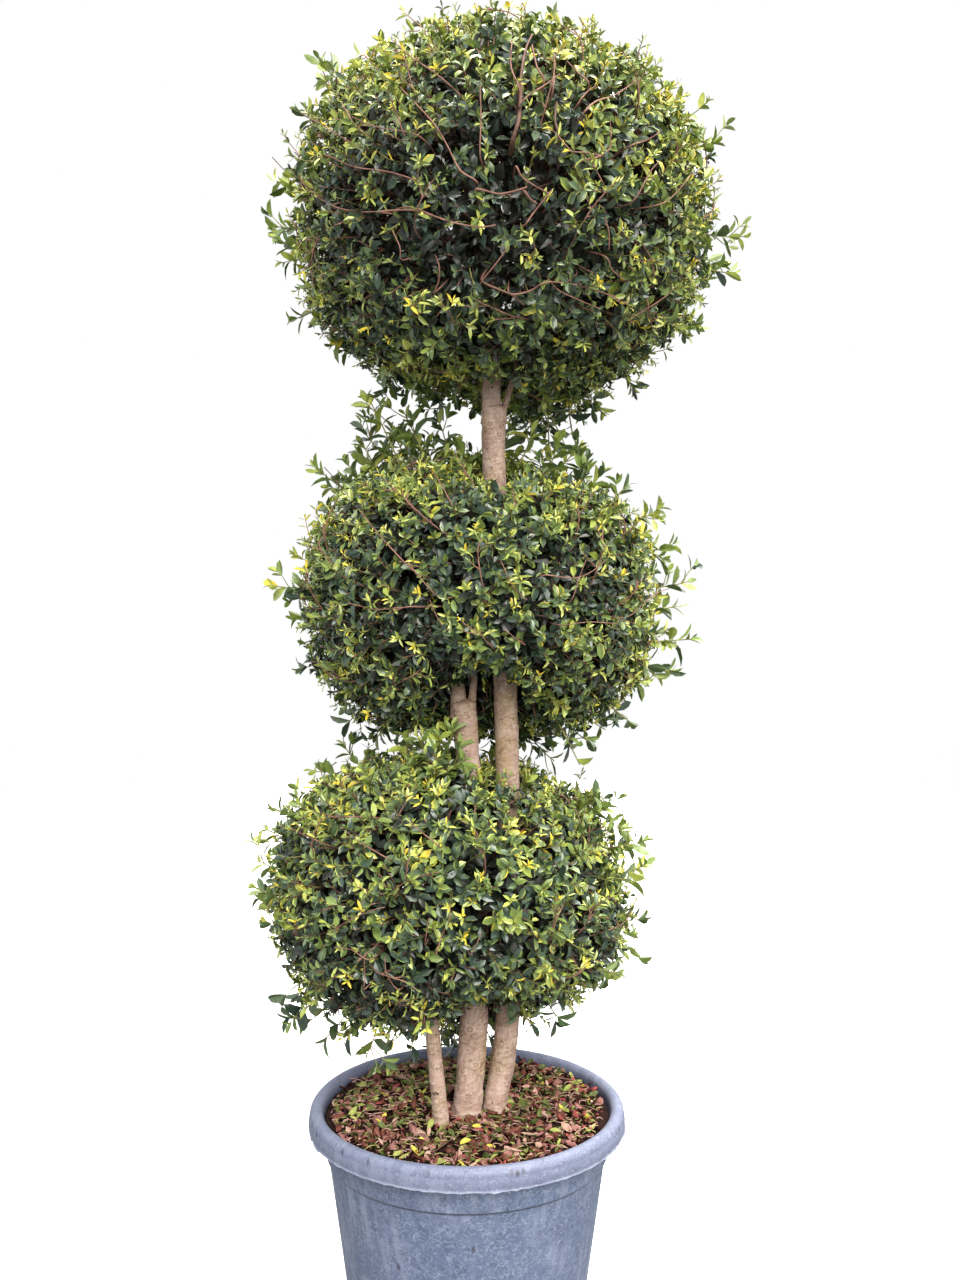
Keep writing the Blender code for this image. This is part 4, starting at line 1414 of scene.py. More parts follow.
def build_chips(name, material, count, lengths, right, seed):
    """Chips of bark in uneven outlines, strewn over the soil."""
    rng = np.random.default_rng(seed)
    places = scattered(count, rng, lengths[1] * CHIP_MARGIN, right)
    along, side, normal = lying(count, rng, CHIP_TILT)
    length = rng.uniform(*lengths, count)
    width = length * rng.uniform(*CHIP_WIDTHS, count)
    thick = rng.uniform(*CHIP_THICKNESS, count)
    uneven = (count, CHIP_SIDES)
    turn = (np.arange(CHIP_SIDES) + rng.uniform(-CHIP_TURN, CHIP_TURN, uneven)) * 2 * math.pi / CHIP_SIDES
    ragged = rng.uniform(*CHIP_RAGGED, uneven)
    x = np.cos(turn) * ragged * length[:, None] / 2
    y = np.sin(turn) * ragged * width[:, None] / 2
    bend = rng.uniform(*CHIP_BEND, (count, 1)) * x**2 / length[:, None]
    rings = []
    for height, shrink in CHIP_RINGS:
        z = height * thick[:, None] * rng.uniform(*CHIP_UNEVEN, uneven) + bend
        parts = ((x * shrink, along), (y * shrink, side), (z, normal))
        rings.append(sum(amount[..., None] * axis[:, None] for amount, axis in parts))
    shape = np.concatenate(rings, axis=1)
    shape += on_soil(places, rng.uniform(0, CHIP_LIFT, count))[:, None]
    pile = Joined()
    pile.add(shape, chip_faces(CHIP_SIDES))
    pile.build(name, material, "potting_mix")


def build_fallen(name, material, count, lengths, seed):
    """Fallen leaves on the soil."""
    rng = np.random.default_rng(seed)
    places = scattered(count, rng, lengths[1] * FALLEN_MARGIN)
    along, _, normal = lying(count, rng, FALLEN_TILT)
    length = rng.uniform(*lengths, count)
    roots = on_soil(places, rng.uniform(*FALLEN_LIFT, count)) - along * length[:, None] / 2
    width = length * rng.uniform(*FALLEN_WIDTHS, count)
    curl = rng.uniform(*FALLEN_CURLS, count)
    fold = rng.uniform(*FALLEN_FOLDS, count)
    pile = Joined()
    add_leaves(pile, "pointed", roots, along, normal, length, width, curl, fold)
    pile.build(name, material, "potting_mix")


def build_curls(name, material, count, lengths, radii, curl, seed):
    """Thin bent pieces that lie on the litter: twigs, and the curled edges of old leaves."""
    rng = np.random.default_rng(seed)
    places = scattered(count, rng, lengths[1] * CURL_MARGIN)
    turn = rng.uniform(0, 2 * math.pi, count)
    heading = level(turn, rng.uniform(-CURL_RISE, CURL_RISE, count))
    aside = level(turn + math.pi / 2)
    bend = rng.uniform(-curl, curl, (count, 1)) * 0.5
    length = rng.uniform(*lengths, (count, 1))
    middle = on_soil(places, rng.uniform(*CURL_LIFT, count))
    steps = [
        middle + (heading * along + aside * bend * across) * length + rise * UP
        for along, across, rise in CURL_STEPS
    ]
    pile = Joined()
    add_tubes(pile, np.stack(steps, axis=1), radii, CURL_SIDES, CURL_RINGS)
    pile.build(name, material, "potting_mix")


def build_litter():
    """Every kind of litter, each with a seed of its own."""
    for seed, (name, (low, high, count, lengths, right)) in enumerate(CHIPS.items(), LITTER_SEEDS["chips"]):
        build_chips(name, litter_material(name, low, high), count, lengths, right, seed)
    for seed, (name, (low, high, count, lengths)) in enumerate(FALLEN.items(), LITTER_SEEDS["fallen"]):
        build_fallen(name, litter_material(name, low, high, 0.5), count, lengths, seed)
    for seed, (name, (low, high, count)) in enumerate(CURLS.items(), LITTER_SEEDS["curls"]):
        material = litter_material(name, low, high)
        build_curls(name, material, count, CURL_LENGTHS, CURL_RADII, CURL_BEND, seed)
    bark = wood_material("fallen_twig_bark")
    sizes = (FALLEN_TWIGS, FALLEN_TWIG_LENGTHS, FALLEN_TWIG_RADII, FALLEN_TWIG_BEND)
    build_curls("fallen_twigs", bark, *sizes, LITTER_SEEDS["twigs"])


# Stems and boughs

def between(a, b, c, d, t):
    """The value a share t of the way from b to c, on a smooth curve through all four."""
    return b + (c - a) / 2 * t + (a - 2.5 * b + 2 * c - d / 2) * t**2 + (1.5 * (b - c) + (d - a) / 2) * t**3


def smooth_line(points, steps):
    """Points along a smooth curve through the given ones, with the radius carried along too."""
    padded = [points[0], *points, points[-1]]
    line = []
    for spans in zip(padded, padded[1:], padded[2:], padded[3:]):
        for i in range(steps):
            line.append([between(*values, i / steps) for values in zip(*spans)])
    line.append(list(points[-1]))
    return np.array(line)


def dense_where_bare(line):
    """The line's points again, close together where the stems show and further apart inside the leaves."""
    fine = evenly(line, BARK_STEP)
    bare = [(low <= fine[:, 2]) & (fine[:, 2] <= high) for low, high in BARE_SPANS]
    keep = np.any(bare, axis=0) | (np.arange(len(fine)) % HIDDEN_RING == 0)
    keep[-1] = True
    return fine[keep]


def evenly(line, step):
    """The line's points again, evenly spaced."""
    runs = np.linalg.norm(np.diff(line[:, :3], axis=0), axis=1)
    far = np.concatenate(([0.0], np.cumsum(runs)))
    places = np.linspace(0, far[-1], max(2, int(far[-1] / step)))
    return np.stack([np.interp(places, far, line[:, i]) for i in range(4)], axis=1)


def knot_relief(points, centre, size, whole):
    """(height, dark, pale) of a whole eye-shaped scar, or of a crescent that is its lower edge.

    Dark is painted shade in the sunk parts and pale a painted highlight on the raised ones.
    """
    away = points - centre
    far = np.linalg.norm(away * (1, 1, SCAR_FLATNESS), axis=-1) / size
    depth = -away[..., 2] / size
    parts = [np.exp(-(((far - place) / width) ** 2)) for place, width in SCAR_PARTS]
    parts[-1] = parts[-1] * depth.clip(0, 1)
    shown = 1.0 if whole else (depth * CRESCENT_FADE).clip(0, 1)
    height, dark, pale = (
        shown * sum(part * amount for part, amount in zip(parts, amounts))
        for amounts in zip(*(WHOLE_SCAR if whole else CRESCENT_SCAR))
    )
    return size * height, dark, pale


def barked(name, line, sides, seed, nodes, material, knots=()):
    """A limb with its bark's relief: lumps, level wrinkles, ridges and round scars, with painted shade in its
    hollows and a painted highlight where it is raised.
    """
    shape = (len(line), sides)
    points = tube_points(line[None, :, :3], line[None, :, 3], sides).reshape(*shape, 3)
    outward = unit(points - line[:, None, :3])
    flat = points.reshape(-1, 3)
    size = line[:, 3].max()
    lumps = noise_at(flat, LUMPS[0], seed, 2).reshape(shape)
    wrinkles = noise_at(flat * (1, 1, 5), WRINKLES[0], seed + 1, 2).reshape(shape)
    patches = noise_at(flat, PATCHES, seed + 2).reshape(shape)
    swirls = noise_at(flat * (1, 1, 1.6), SWIRLS[0], seed + 3).reshape(shape)
    swirls = np.exp(-((swirls / SWIRL_WIDTH) ** 2))
    grounded = line[0, 2] < SOIL_TOP + 0.01
    foot = np.exp(-(points[:, :, 2] - SOIL_TOP) / FOOT_FADE).clip(0, 1) if grounded else 0.0
    everywhere, in_patches, at_foot = ROUGHNESSES
    rough = everywhere + in_patches * patches.clip(0, 1) + at_foot * foot
    relief = size * (LUMPS[1] * lumps + WRINKLES[1] * rough * wrinkles - SWIRLS[1] * swirls)
    # Painted shade in the sunk swirls and wrinkles, and a painted highlight on the raised wrinkles
    painted_hollow_shade = SWIRL_SHADE[1] * swirls * (patches > SWIRL_SHADE[0])
    painted_hollow_shade = painted_hollow_shade + WRINKLE_SHADE[1] * (-wrinkles - WRINKLE_SHADE[0]).clip(0, 1) * rough
    painted_highlight = WRINKLE_HIGHLIGHT[1] * (wrinkles - WRINKLE_HIGHLIGHT[0]).clip(0, 1) * rough
    for height, angle, radius in knots:
        row = np.argmin(np.abs(line[:, 2] - height))
        place = line[row, :3] + line[row, 3] * level(math.radians(angle))
        raised, dark, pale = knot_relief(points, place, radius, radius > CRESCENT_BELOW)
        relief = relief + raised
        painted_hollow_shade = np.maximum(painted_hollow_shade * (1 - pale), dark)
        painted_highlight = np.maximum(painted_highlight * (1 - dark), pale)
    points = points + outward * relief[..., None]
    middle = points[-1].mean(axis=0)
    for shrink, rise in LIMB_CAPS:
        cap = middle + (points[len(line) - 1] - middle) * shrink + (0, 0, rise * line[-1, 3] * 0.5)
        points = np.concatenate((points, cap[None]))
    # The rounded end takes painted shade
    tip = np.full((len(LIMB_CAPS), sides), CAP_SHADE)
    # Painted shade in the hollows and a painted highlight on the raised bark, as values at the points
    values = {
        "painted_hollow_shade": np.concatenate((painted_hollow_shade, tip)).clip(0, 1).ravel(),
        "raised": np.concatenate((painted_highlight, 0 * tip)).clip(0, 1).ravel(),
    }
    faces = grid_faces(len(points), sides)
    faces = faces[:, ::-1] if inside_out(points) else faces
    mesh_piece(name, points.reshape(-1, 3), faces, material, nodes, values=values)


def inside_out(rings):
    """Whether the first ring's faces would point at the axis, judged by its turning sense."""
    middle = rings[0].mean(axis=0)
    first, second = rings[0, 0] - middle, rings[0, 1] - middle
    up = rings[1].mean(axis=0) - middle
    return np.dot(np.cross(first, second), up) < 0


def build_limbs(material):
    rng = np.random.default_rng(KNOT_SEED)
    for index, (name, points) in enumerate(STEM_LINES.items()):
        line = dense_where_bare(smooth_line(points, STEM_SMOOTHING))
        low, high = line[0, 2] + KNOTS_START, line[-1, 2]
        extra = [
            (rng.uniform(low, high), rng.uniform(-180, 180), rng.uniform(*EXTRA_KNOT_SIZES))
            for _ in range(EXTRA_KNOTS)
        ]
        sides = THICK_STEM_SIDES if line[0, 3] > THICK_STEM else THIN_STEM_SIDES
        seed = STEM_SEED + index * SEED_STEP
        barked("bark_" + name, line, sides, seed, (name,), material, (*KNOTS[name], *extra))
    for index, (name, points) in enumerate(BOUGH_LINES.items()):
        x, y, z, radius = points[0]
        lead = (x, y, z - BOUGH_LEAD, radius * BOUGH_LEAD_SWELL)
        ball = next(ball for ball in BALLS.values() if name in ball["stems"])
        inner = spine_curves(ball)[ball["stems"].index(name)]
        shares = np.linspace(HIDDEN_START, 1.0, HIDDEN_STEPS)
        inside = curve_point(np.repeat(inner[None], HIDDEN_STEPS, axis=0), shares)
        tips = points[-1][3] + (HIDDEN_TIP - points[-1][3]) * shares
        rest = [(*place, tip) for place, tip in zip(inside, tips)]
        line = evenly(smooth_line([lead, *points, *rest], SMOOTHING), BOUGH_STEP)
        barked("bark_" + name, line, BOUGH_SIDES, BOUGH_SEED + index * SEED_STEP, (name,), material)


# Curves of growth

def curve_point(curves, t):
    """The point a share t along each cubic curve."""
    t = np.asarray(t)[:, None]
    a, b, c, d = (curves[:, i] for i in range(4))
    return (1 - t) ** 3 * a + 3 * (1 - t) ** 2 * t * b + 3 * (1 - t) * t**2 * c + t**3 * d


def curve_heading(curves, t):
    """The direction of each cubic curve a share t along it."""
    t = np.asarray(t)[:, None]
    a, b, c, d = (curves[:, i] for i in range(4))
    return unit((1 - t) ** 2 * (b - a) + 2 * (1 - t) * t * (c - b) + t**2 * (d - c))


def grown(starts, leaving, ends, arriving, stiffness=0.36):
    """Cubic curves from the starts to the ends, with the headings that they leave and arrive by."""
    run = np.linalg.norm(ends - starts, axis=1, keepdims=True) * stiffness
    return np.stack((starts, starts + leaving * run, ends - arriving * run, ends), axis=1)


def add_tubes(pile, curves, radii, sides, steps, kink=0.0, rng=None):
    """Tapering tubes along the curves, which may kink a little on their way."""
    shares = np.linspace(0, 1, steps)
    lines = np.stack([curve_point(curves, np.full(len(curves), share)) for share in shares], axis=1)
    if kink:
        lines[:, 1:-1] += rng.normal(0, kink, lines[:, 1:-1].shape)
    thickness = np.broadcast_to(radii[0] + (radii[1] - radii[0]) * shares, (len(curves), steps))
    pile.add(tube_points(lines, thickness, sides), tube_faces(steps, sides))


def golden_directions(count, jitter, rng):
    """Directions spread evenly round a ball by the golden angle, each a little off its place."""
    i = np.arange(count)
    z = 1 - 2 * (i + 0.5) / count
    width = np.sqrt(1 - z * z)
    turn = i * GOLDEN_ANGLE
    spread = np.stack((width * np.cos(turn), width * np.sin(turn), z), axis=1)
    return unit(spread + rng.uniform(-jitter, jitter, (count, 3)))


def reach(ball, directions):
    """The distance from the ball's centre to its clipped surface along unit directions."""
    across = np.hypot(directions[:, 0], directions[:, 1]) / ball["half_width"]
    upright = np.abs(directions[:, 2]) / ball["half_height"]
    radius = (across**BALL_POWER + upright**BALL_POWER) ** (-1 / BALL_POWER)
    for towards, height, width in ball["bumps"]:
        radius = radius * (1 + height * nearness(directions, towards, width))
    return radius


def nearness(directions, towards, width):
    """How near the directions are to one of them, from 1 down to 0 over a width in degrees."""
    aim = unit(np.array(towards, dtype=float))
    angle = np.degrees(np.arccos((directions @ aim).clip(-1, 1)))
    return np.exp(-((angle / width) ** 2))


def shares_of(ball, points):
    """How far out the points are, as shares of the ball's radius that way."""
    offset = points - np.array(ball["centre"])
    far = np.linalg.norm(offset, axis=1)
    return far / reach(ball, offset / far[:, None])


def on_ball(ball, directions, share):
    """Points on the ball's surface, or at a share of its radius."""
    return np.array(ball["centre"]) + directions * (reach(ball, directions) * share)[:, None]


def spine_curves(ball):
    """Each limb's way on from its tip into the ball, as cubic curves."""
    centre = np.array(ball["centre"])
    curves = []
    for index, name in enumerate(ball["stems"]):
        points = {**STEM_LINES, **BOUGH_LINES}[name]
        tip = np.array(points[-1][:3])
        heading = unit(tip - np.array(points[-2][:3]))
        alone = len(ball["stems"]) == 1
        aside = 0.0 if alone else (index - 0.5) * SPINE_SPREAD * ball["half_width"]
        end = centre + (aside, 0.0, SPINE_HEIGHT * ball["half_height"])
        arriving = unit(np.array([[aside, 0.0, SPINE_RISE]]))
        curves.append(grown(tip[None], heading[None], end[None], arriving)[0])
    return np.array(curves)


# Leaves

def leaf_template(rows):
    """(shares along, shares across, faces, whether on the midrib) of a leaf with rows of (place, width)."""
    along, across, corners, faces = [], [], [], []
    for place, width in rows:
        sides = (-width, 0.0, width) if width else (0.0,)
        corners.append([len(along) + i for i in range(len(sides))])
        along += [place] * len(sides)
        across += sides
    for low, high in zip(corners, corners[1:]):
        if len(low) == 1:
            faces += [(low[0], high[1], high[0]), (low[0], high[2], high[1])]
        elif len(high) == 1:
            faces += [(low[0], low[1], high[0]), (low[1], low[2], high[0])]
        else:
            for i in range(2):
                faces += [(low[i], low[i + 1], high[i + 1]), (low[i], high[i + 1], high[i])]
    across = np.array(across)
    return np.array(along), across, np.array(faces), across == 0


LEAF_TEMPLATES = {shape: leaf_template(rows) for shape, rows in LEAF_ROWS.items()}
# A strip along one edge of a leaf, for its painted highlight
LEAF_TEMPLATES["edge"] = (
    np.array((0.0, 0.34, 0.34, 0.74, 0.74, 1.0)),
    np.array((0.0, 0.60, 0.92, 0.66, 1.00, 0.0)),
    np.array(((0, 1, 2), (1, 3, 4), (1, 4, 2), (3, 5, 4))),
    np.zeros(6, dtype=bool),
)


def leaf_points(shape, roots, along, normal, length, width, curl, fold):
    """The corners of many leaves, each folded along its midrib and curled back towards its tip."""
    far, aside = LEAF_TEMPLATES[shape][:2]
    side = np.cross(normal, along)
    x = far * length[:, None]
    y = aside * width[:, None] / 2
    z = np.abs(y) * fold[:, None] - curl[:, None] * far**2 * length[:, None]
    return (
        roots[:, None]
        + x[..., None] * along[:, None]
        + y[..., None] * side[:, None]
        + z[..., None] * normal[:, None]
    )


def add_leaves(pile, shape, *values):
    _, _, faces, midrib = LEAF_TEMPLATES[shape]
    pile.add(leaf_points(shape, *values), faces, midrib)


class Leaves:
    """The leaves of one ball, gathered by shape, with the tone of each one."""

    def __init__(self):
        self.parts = {shape: [] for shape in LEAF_ROWS}

    def pairs(self, curves, spots, rng, tone, outward, shape, size=1.0, facing=FACING):
        """Opposite leaves at spots on each curve, each pair turned a quarter from the last."""
        count = len(curves)
        if not count:
            return
        run = np.linalg.norm(curves[:, 3] - curves[:, 0], axis=1) * ARC_LENGTH
        roll = rng.uniform(0, math.pi, count)
        helper = unit(rng.normal(0, 1, (count, 3)))
        for pair, (back, scale, angle, added) in enumerate(spots):
            t = 1 - back * rng.uniform(*SPOT_SPREAD, count) / run
            heading = curve_heading(curves, t)
            node = curve_point(curves, t)
            side = unit(np.cross(heading, helper))
            other = np.cross(heading, side)
            for half in (0, math.pi):
                there = (t > BARE_FOOT) & (rng.uniform(0, 1, count) > MISSING_LEAVES)
                turn = roll + pair * math.pi / 2 + half + rng.normal(0, ROLL_SPREAD, count)
                spread = side * np.cos(turn)[:, None] + other * np.sin(turn)[:, None]
                open_by = np.radians(angle + rng.normal(0, ANGLE_SPREAD, count))[:, None]
                along = heading * np.cos(open_by) + spread * np.sin(open_by)
                normal = heading * np.sin(open_by) - spread * np.cos(open_by)
                along = unit(along + LEAF_RISE * UP + rng.normal(0, LOOSE_AIM, (count, 3)))
                normal = normal + facing * (outward + FACE_UPWARD * UP)
                normal = normal + rng.normal(0, LOOSE_FACE, (count, 3))
                normal = unit(normal - along * dots(normal, along))
                length = LEAF_LENGTH * size * scale * rng.uniform(*LEAF_SIZES, count)
                width = length * rng.uniform(*LEAF_WIDTHS[shape], count)
                curl = rng.uniform(*LEAF_CURLS, count)
                fold = rng.uniform(*LEAF_FOLDS, count)
                shade = tone + added + rng.normal(0, TONE_SPREAD, count)
                parts = (node, along, normal, length, width, curl, fold, shade)
                self.parts[shape].append([part[there] for part in parts])


# A ball of foliage

def limb_samples():
    """Points and radii along every stem and bough, for keeping clear of them."""
    limbs = {**STEM_LINES, **BOUGH_LINES}
    joined = np.concatenate([evenly(smooth_line(points, SMOOTHING), LIMB_STEP) for points in limbs.values()])
    return joined[:, :3], joined[:, 3]


LIMB_POINTS, LIMB_RADII = limb_samples()


def has_room(ball, points, radius):
    """Whether each point is clear of the pot, the limbs and the other balls."""
    clear = points[:, 2] > POT_HEIGHT + RIM_CLEARANCE
    for other in BALLS.values():
        if other is not ball:
            clear &= shares_of(other, points) > NEIGHBOUR_SHARE
    near = np.empty(len(points), dtype=bool)
    for start in range(0, len(points), POINTS_AT_ONCE):
        block = points[start:start + POINTS_AT_ONCE]
        far = np.linalg.norm(block[:, None] - LIMB_POINTS[None], axis=2)
        touching = far < LIMB_RADII + radius + LIMB_CLEARANCE
        near[start:start + POINTS_AT_ONCE] = touching.any(axis=1)
    return clear & ~near


def roomy(ball, curves, radius, shares=ROOM_PLACES):
    """The curves that keep to the ball's own space."""
    keep = np.ones(len(curves), dtype=bool)
    for share in shares:
        keep &= has_room(ball, curve_point(curves, np.full(len(curves), share)), radius)
    return keep


def sprig_aims(ball, rng):
    """(directions, reaches) of the shoots that stand out: first those seen in front, then some behind."""
    aims, fars = [], []
    for angle, far in ball["sprigs"]:
        a = math.radians(angle)
        forward = ball["lean"] * math.sin(a) + rng.normal(0, SPRIG_LOOSE)
        aims.append((math.cos(a), forward, math.sin(a)))
        fars.append(far)
    for i in range(BACK_SPRIGS):
        turn = math.pi * (i + 0.5) / BACK_SPRIGS + rng.uniform(-BACK_SPRIG_TURN, BACK_SPRIG_TURN)
        aims.append((math.cos(turn), math.sin(turn), rng.uniform(*BACK_SPRIG_RISE)))
        fars.append(rng.uniform(*BACK_SPRIG_REACH))
    for way, far in ball.get("tufts", ()):
        aims.append(way)
        fars.append(far)
    return unit(np.array(aims)), np.array(fars)


def side_twigs(curves, count, lengths, rng):
    """Short twigs that leave each curve at an angle, as cubic curves."""
    parents = np.repeat(curves, count, axis=0)
    t = rng.uniform(*SIDE_PARTS, len(parents))
    starts, heading = curve_point(parents, t), curve_heading(parents, t)
    aside = rng.normal(0, 1, (len(parents), 3))
    aside = unit(aside - heading * dots(aside, heading))
    angle = np.radians(rng.uniform(*SIDE_ANGLES, len(parents)))[:, None]
    leaving = heading * np.cos(angle) + aside * np.sin(angle)
    ends = starts + leaving * rng.uniform(*lengths, len(parents))[:, None] + SIDE_LIFT * UP
    return grown(starts, leaving, ends, unit(leaving + SIDE_FOLLOW * heading + SIDE_UPWARD * UP))


def tones_of(ball, aims, far, rng):
    """The tone of the leaves that way: varied in patches, paler further out where they are younger and less
    in painted shade, paler towards the light as painted light, and darker under the ball's shades as painted
    shade.
    """
    light = (aims @ unit(np.array(LIGHT_FROM))).clip(*LIGHT_RANGE)
    patches = noise_at(aims, NOISE_SCALES["tone"], ball["seed"], 2)
    tone = ball["tone"] + LIGHT_TONE * light + PATCH_TONE * patches + DEPTH_TONE * (far - DEPTH_LEVEL)
    tone = tone + rng.normal(0, SHOOT_TONE_SPREAD, len(aims))
    for towards, amount, width in ball["shades"]:
        tone = tone - amount * nearness(aims, towards, width)
    return tone


def young_ones(ball, aims, rng):
    """Which shoots carry young leaves: some that face the light, mostly in patches."""
    light = (aims @ unit(np.array(LIGHT_FROM))).clip(0, 1)
    patches = noise_at(aims, NOISE_SCALES["young"], ball["seed"] + 3)
    chance = (ball["youth"] + YOUNG_LIGHT * light) * (1 + YOUNG_PATCHES * patches).clip(*YOUNG_RANGE)
    for towards, amount, width in ball["shades"]:
        chance = chance * (1 - SHADED_YOUNG * nearness(aims, towards, width))
    return rng.uniform(0, 1, len(aims)) < chance


def depths_of(ball, aims, rng):
    """How far out the shoots that way reach: uneven, with dark pockets between the clusters."""
    uneven = noise_at(aims, NOISE_SCALES["reach"], ball["seed"] + 1)
    far = rng.uniform(*SHOOT_REACH, len(aims)) + REACH_NOISE * uneven
    clusters = noise_at(aims, NOISE_SCALES["pockets"], ball["seed"] + 2)
    far = far - ball["pockets"] * (-clusters - POCKETS_BELOW).clip(0, DEEPEST_POCKET)
    for towards, depth, width in ball["hollows"]:
        far = far - depth * nearness(aims, towards, width)
    return far


class Growth:
    """The twigs and shoots of one ball, each kind as cubic curves, with the way that each one faces."""

    def __init__(self, ball, rng):
        self.ball, self.rng = ball, rng
        self.curves, self.ways = {}, {}
        self.grow_leaders()
        self.grow_twigs("twigs", TWIGS, TWIG_ENDS)
        self.grow_twigs("inner", INNER_TWIGS, INNER_ENDS)
        self.grow_shoots()
        self.grow_tips()
        self.grow_sprigs()
        self.grow_fringe()
        self.curves["runners"], self.ways["runners"] = runner_curves(ball, rng)
        self.grow_spurs()

    def attached(self, kind, aims, parts):
        """(points, headings) where new growth leaves the curves of a kind that point nearest its way."""
        parents = self.curves[kind][np.argmax(aims @ self.ways[kind].T, axis=1)]
        t = self.rng.uniform(*parts, len(aims))
        return curve_point(parents, t), curve_heading(parents, t)

    def grow_leaders(self):
        """Leaders from the limbs' ways on through the ball."""
        spines = spine_curves(self.ball)
        aims = golden_directions(LEADERS, JITTER["leaders"], self.rng)
        which = (aims[:, 0] > 0).astype(int) % len(spines)
        along = (LEADER_FOOT + LEADER_SPAN * (aims[:, 2] + 1) / 2).clip(0, 1)
        starts = curve_point(spines[which], along)
        leaving = unit(curve_heading(spines[which], along) + aims)
        ends = on_ball(self.ball, aims, self.rng.uniform(*LEADER_ENDS, LEADERS))
        self.curves["leaders"], self.ways["leaders"] = grown(starts, leaving, ends, aims), aims

    def grow_twigs(self, kind, count, reach_shares):
        """Twigs on the leaders."""
        aims = golden_directions(count, JITTER["twigs"], self.rng)
        starts, headings = self.attached("leaders", aims, LEADER_PARTS)
        ends = on_ball(self.ball, aims, self.rng.uniform(*reach_shares, len(aims)))
        made = grown(starts, headings, ends, unit(aims + TWIG_LOOSE * self.rng.normal(0, 1, aims.shape)))
        keep = roomy(self.ball, made, ROOM["twigs"])
        self.curves[kind], self.ways[kind] = made[keep], aims[keep]

    def towards(self, kind, aims, far):
        """Shoots on the twigs, and which of them have room."""
        low, high, upward, loose = SHOOT_KINDS[kind]
        starts, headings = self.attached("twigs", aims, (low, high))
        arriving = unit(aims + upward * UP + self.rng.normal(0, loose, aims.shape))
        made = grown(starts, unit(headings + SHOOT_OUTWARD * aims), on_ball(self.ball, aims, far), arriving)
        return made, roomy(self.ball, made, ROOM["shoots"])

    def grow_shoots(self):
        """The many shoots with old or young leaves, with their tones."""
        aims = golden_directions(self.ball["shoots"], JITTER["shoots"], self.rng)
        young = young_ones(self.ball, aims, self.rng)
        far = depths_of(self.ball, aims, self.rng) + np.where(young, YOUNG_REACH, 0.0)
        tone = tones_of(self.ball, aims, far, self.rng)
        made, keep = self.towards("shoots", aims, far)
        self.tones = {}
        for kind, chosen in (("old", keep & ~young), ("young", keep & young)):
            self.curves[kind], self.ways[kind], self.tones[kind] = made[chosen], aims[chosen], tone[chosen]

    def grow_tips(self):
        """Straight young shoots that stand a little proud."""
        aims = golden_directions(self.ball["tips"], JITTER["tips"], self.rng)
        made, keep = self.towards("tips", aims, self.rng.uniform(*TIP_REACH, len(aims)))
        self.curves["tips"], self.ways["tips"] = made[keep], aims[keep]

    def grow_sprigs(self):
        """Long sprigs that stand out of the outline, with twigs at their sides."""
        aims, far = sprig_aims(self.ball, self.rng)
        made, keep = self.towards("sprigs", aims, far - SPRIG_TIP)
        self.curves["sprigs"], self.ways["sprigs"] = made[keep], aims[keep]
        self.curves["sprig_sides"] = side_twigs(made[keep], SPRIG_SIDES, SPRIG_SIDE_LENGTHS, self.rng)

    def grow_fringe(self):
        """Shoots that make the outline uneven, fewer of them on the front."""
        aims = golden_directions(FRINGE, JITTER["fringe"], self.rng)
        hidden = (aims[:, 1] < -FRONT_TURN) & (self.rng.uniform(0, 1, FRINGE) < FRONT_LEFT_OUT)
        made, keep = self.towards("fringe", aims, self.rng.uniform(*FRINGE_REACH, FRINGE))
        keep &= ~hidden
        self.curves["fringe"], self.ways["fringe"] = made[keep], aims[keep]

    def grow_spurs(self):
        """Short twigs at the sides of the runners."""
        spurs = side_twigs(self.curves["runners"], SPURS, SPUR_LENGTHS, self.rng)
        keep = roomy(self.ball, spurs, ROOM["shoots"])
        ways = np.repeat(self.ways["runners"], SPURS, axis=0)
        self.curves["spurs"], self.ways["spurs"] = spurs[keep], ways[keep]

    def leafed(self):
        """The leaves of every shoot, in the order that their random draws keep."""
        rng, ball, ways = self.rng, self.ball, self.ways
        leaves = Leaves()

        def pairs(kind, spots, tone, shape, **settings):
            leaves.pairs(self.curves[kind], SPOTS[spots], rng, tone, ways[kind], shape, **settings)

        def noisy(kind, offset):
            return noise_at(ways[kind], NOISE_SCALES[kind], ball["seed"] + offset)

        def varied(kind, middle, low, high):
            return middle + rng.uniform(low, high, count[kind])

        count = {kind: len(curves) for kind, curves in self.curves.items()}
        pairs("old", "old", self.tones["old"], "broad")
        mixed = rng.uniform(-1, 1, count["young"]) * rng.uniform(0, 1, count["young"])
        tone = YOUNG_TONE + YOUNG_SPREAD * mixed + YOUNG_SHARE * self.tones["young"]
        pairs("young", "young", tone, "narrow")
        pairs("young", "below_young", self.tones["young"], "broad")
        # Tips are paler higher up, a painted light
        tone = ball["tip_tone"] + TIP_PATCHES * noisy("tips", 0) + TIP_HEIGHT * ways["tips"][:, 2]
        tone = tone + rng.normal(0, TIP_SPREAD, count["tips"])
        pairs("tips", "tips", tone, "narrow", size=TIP_SIZE, facing=TIP_FACING)
        # Inner leaves in the darkest tone, painted shade
        for kind in ("twigs", "inner"):
            pairs(kind, "inner", np.full(count[kind], INNER_TONE), "plain")
        self.leaf_sprigs(leaves)
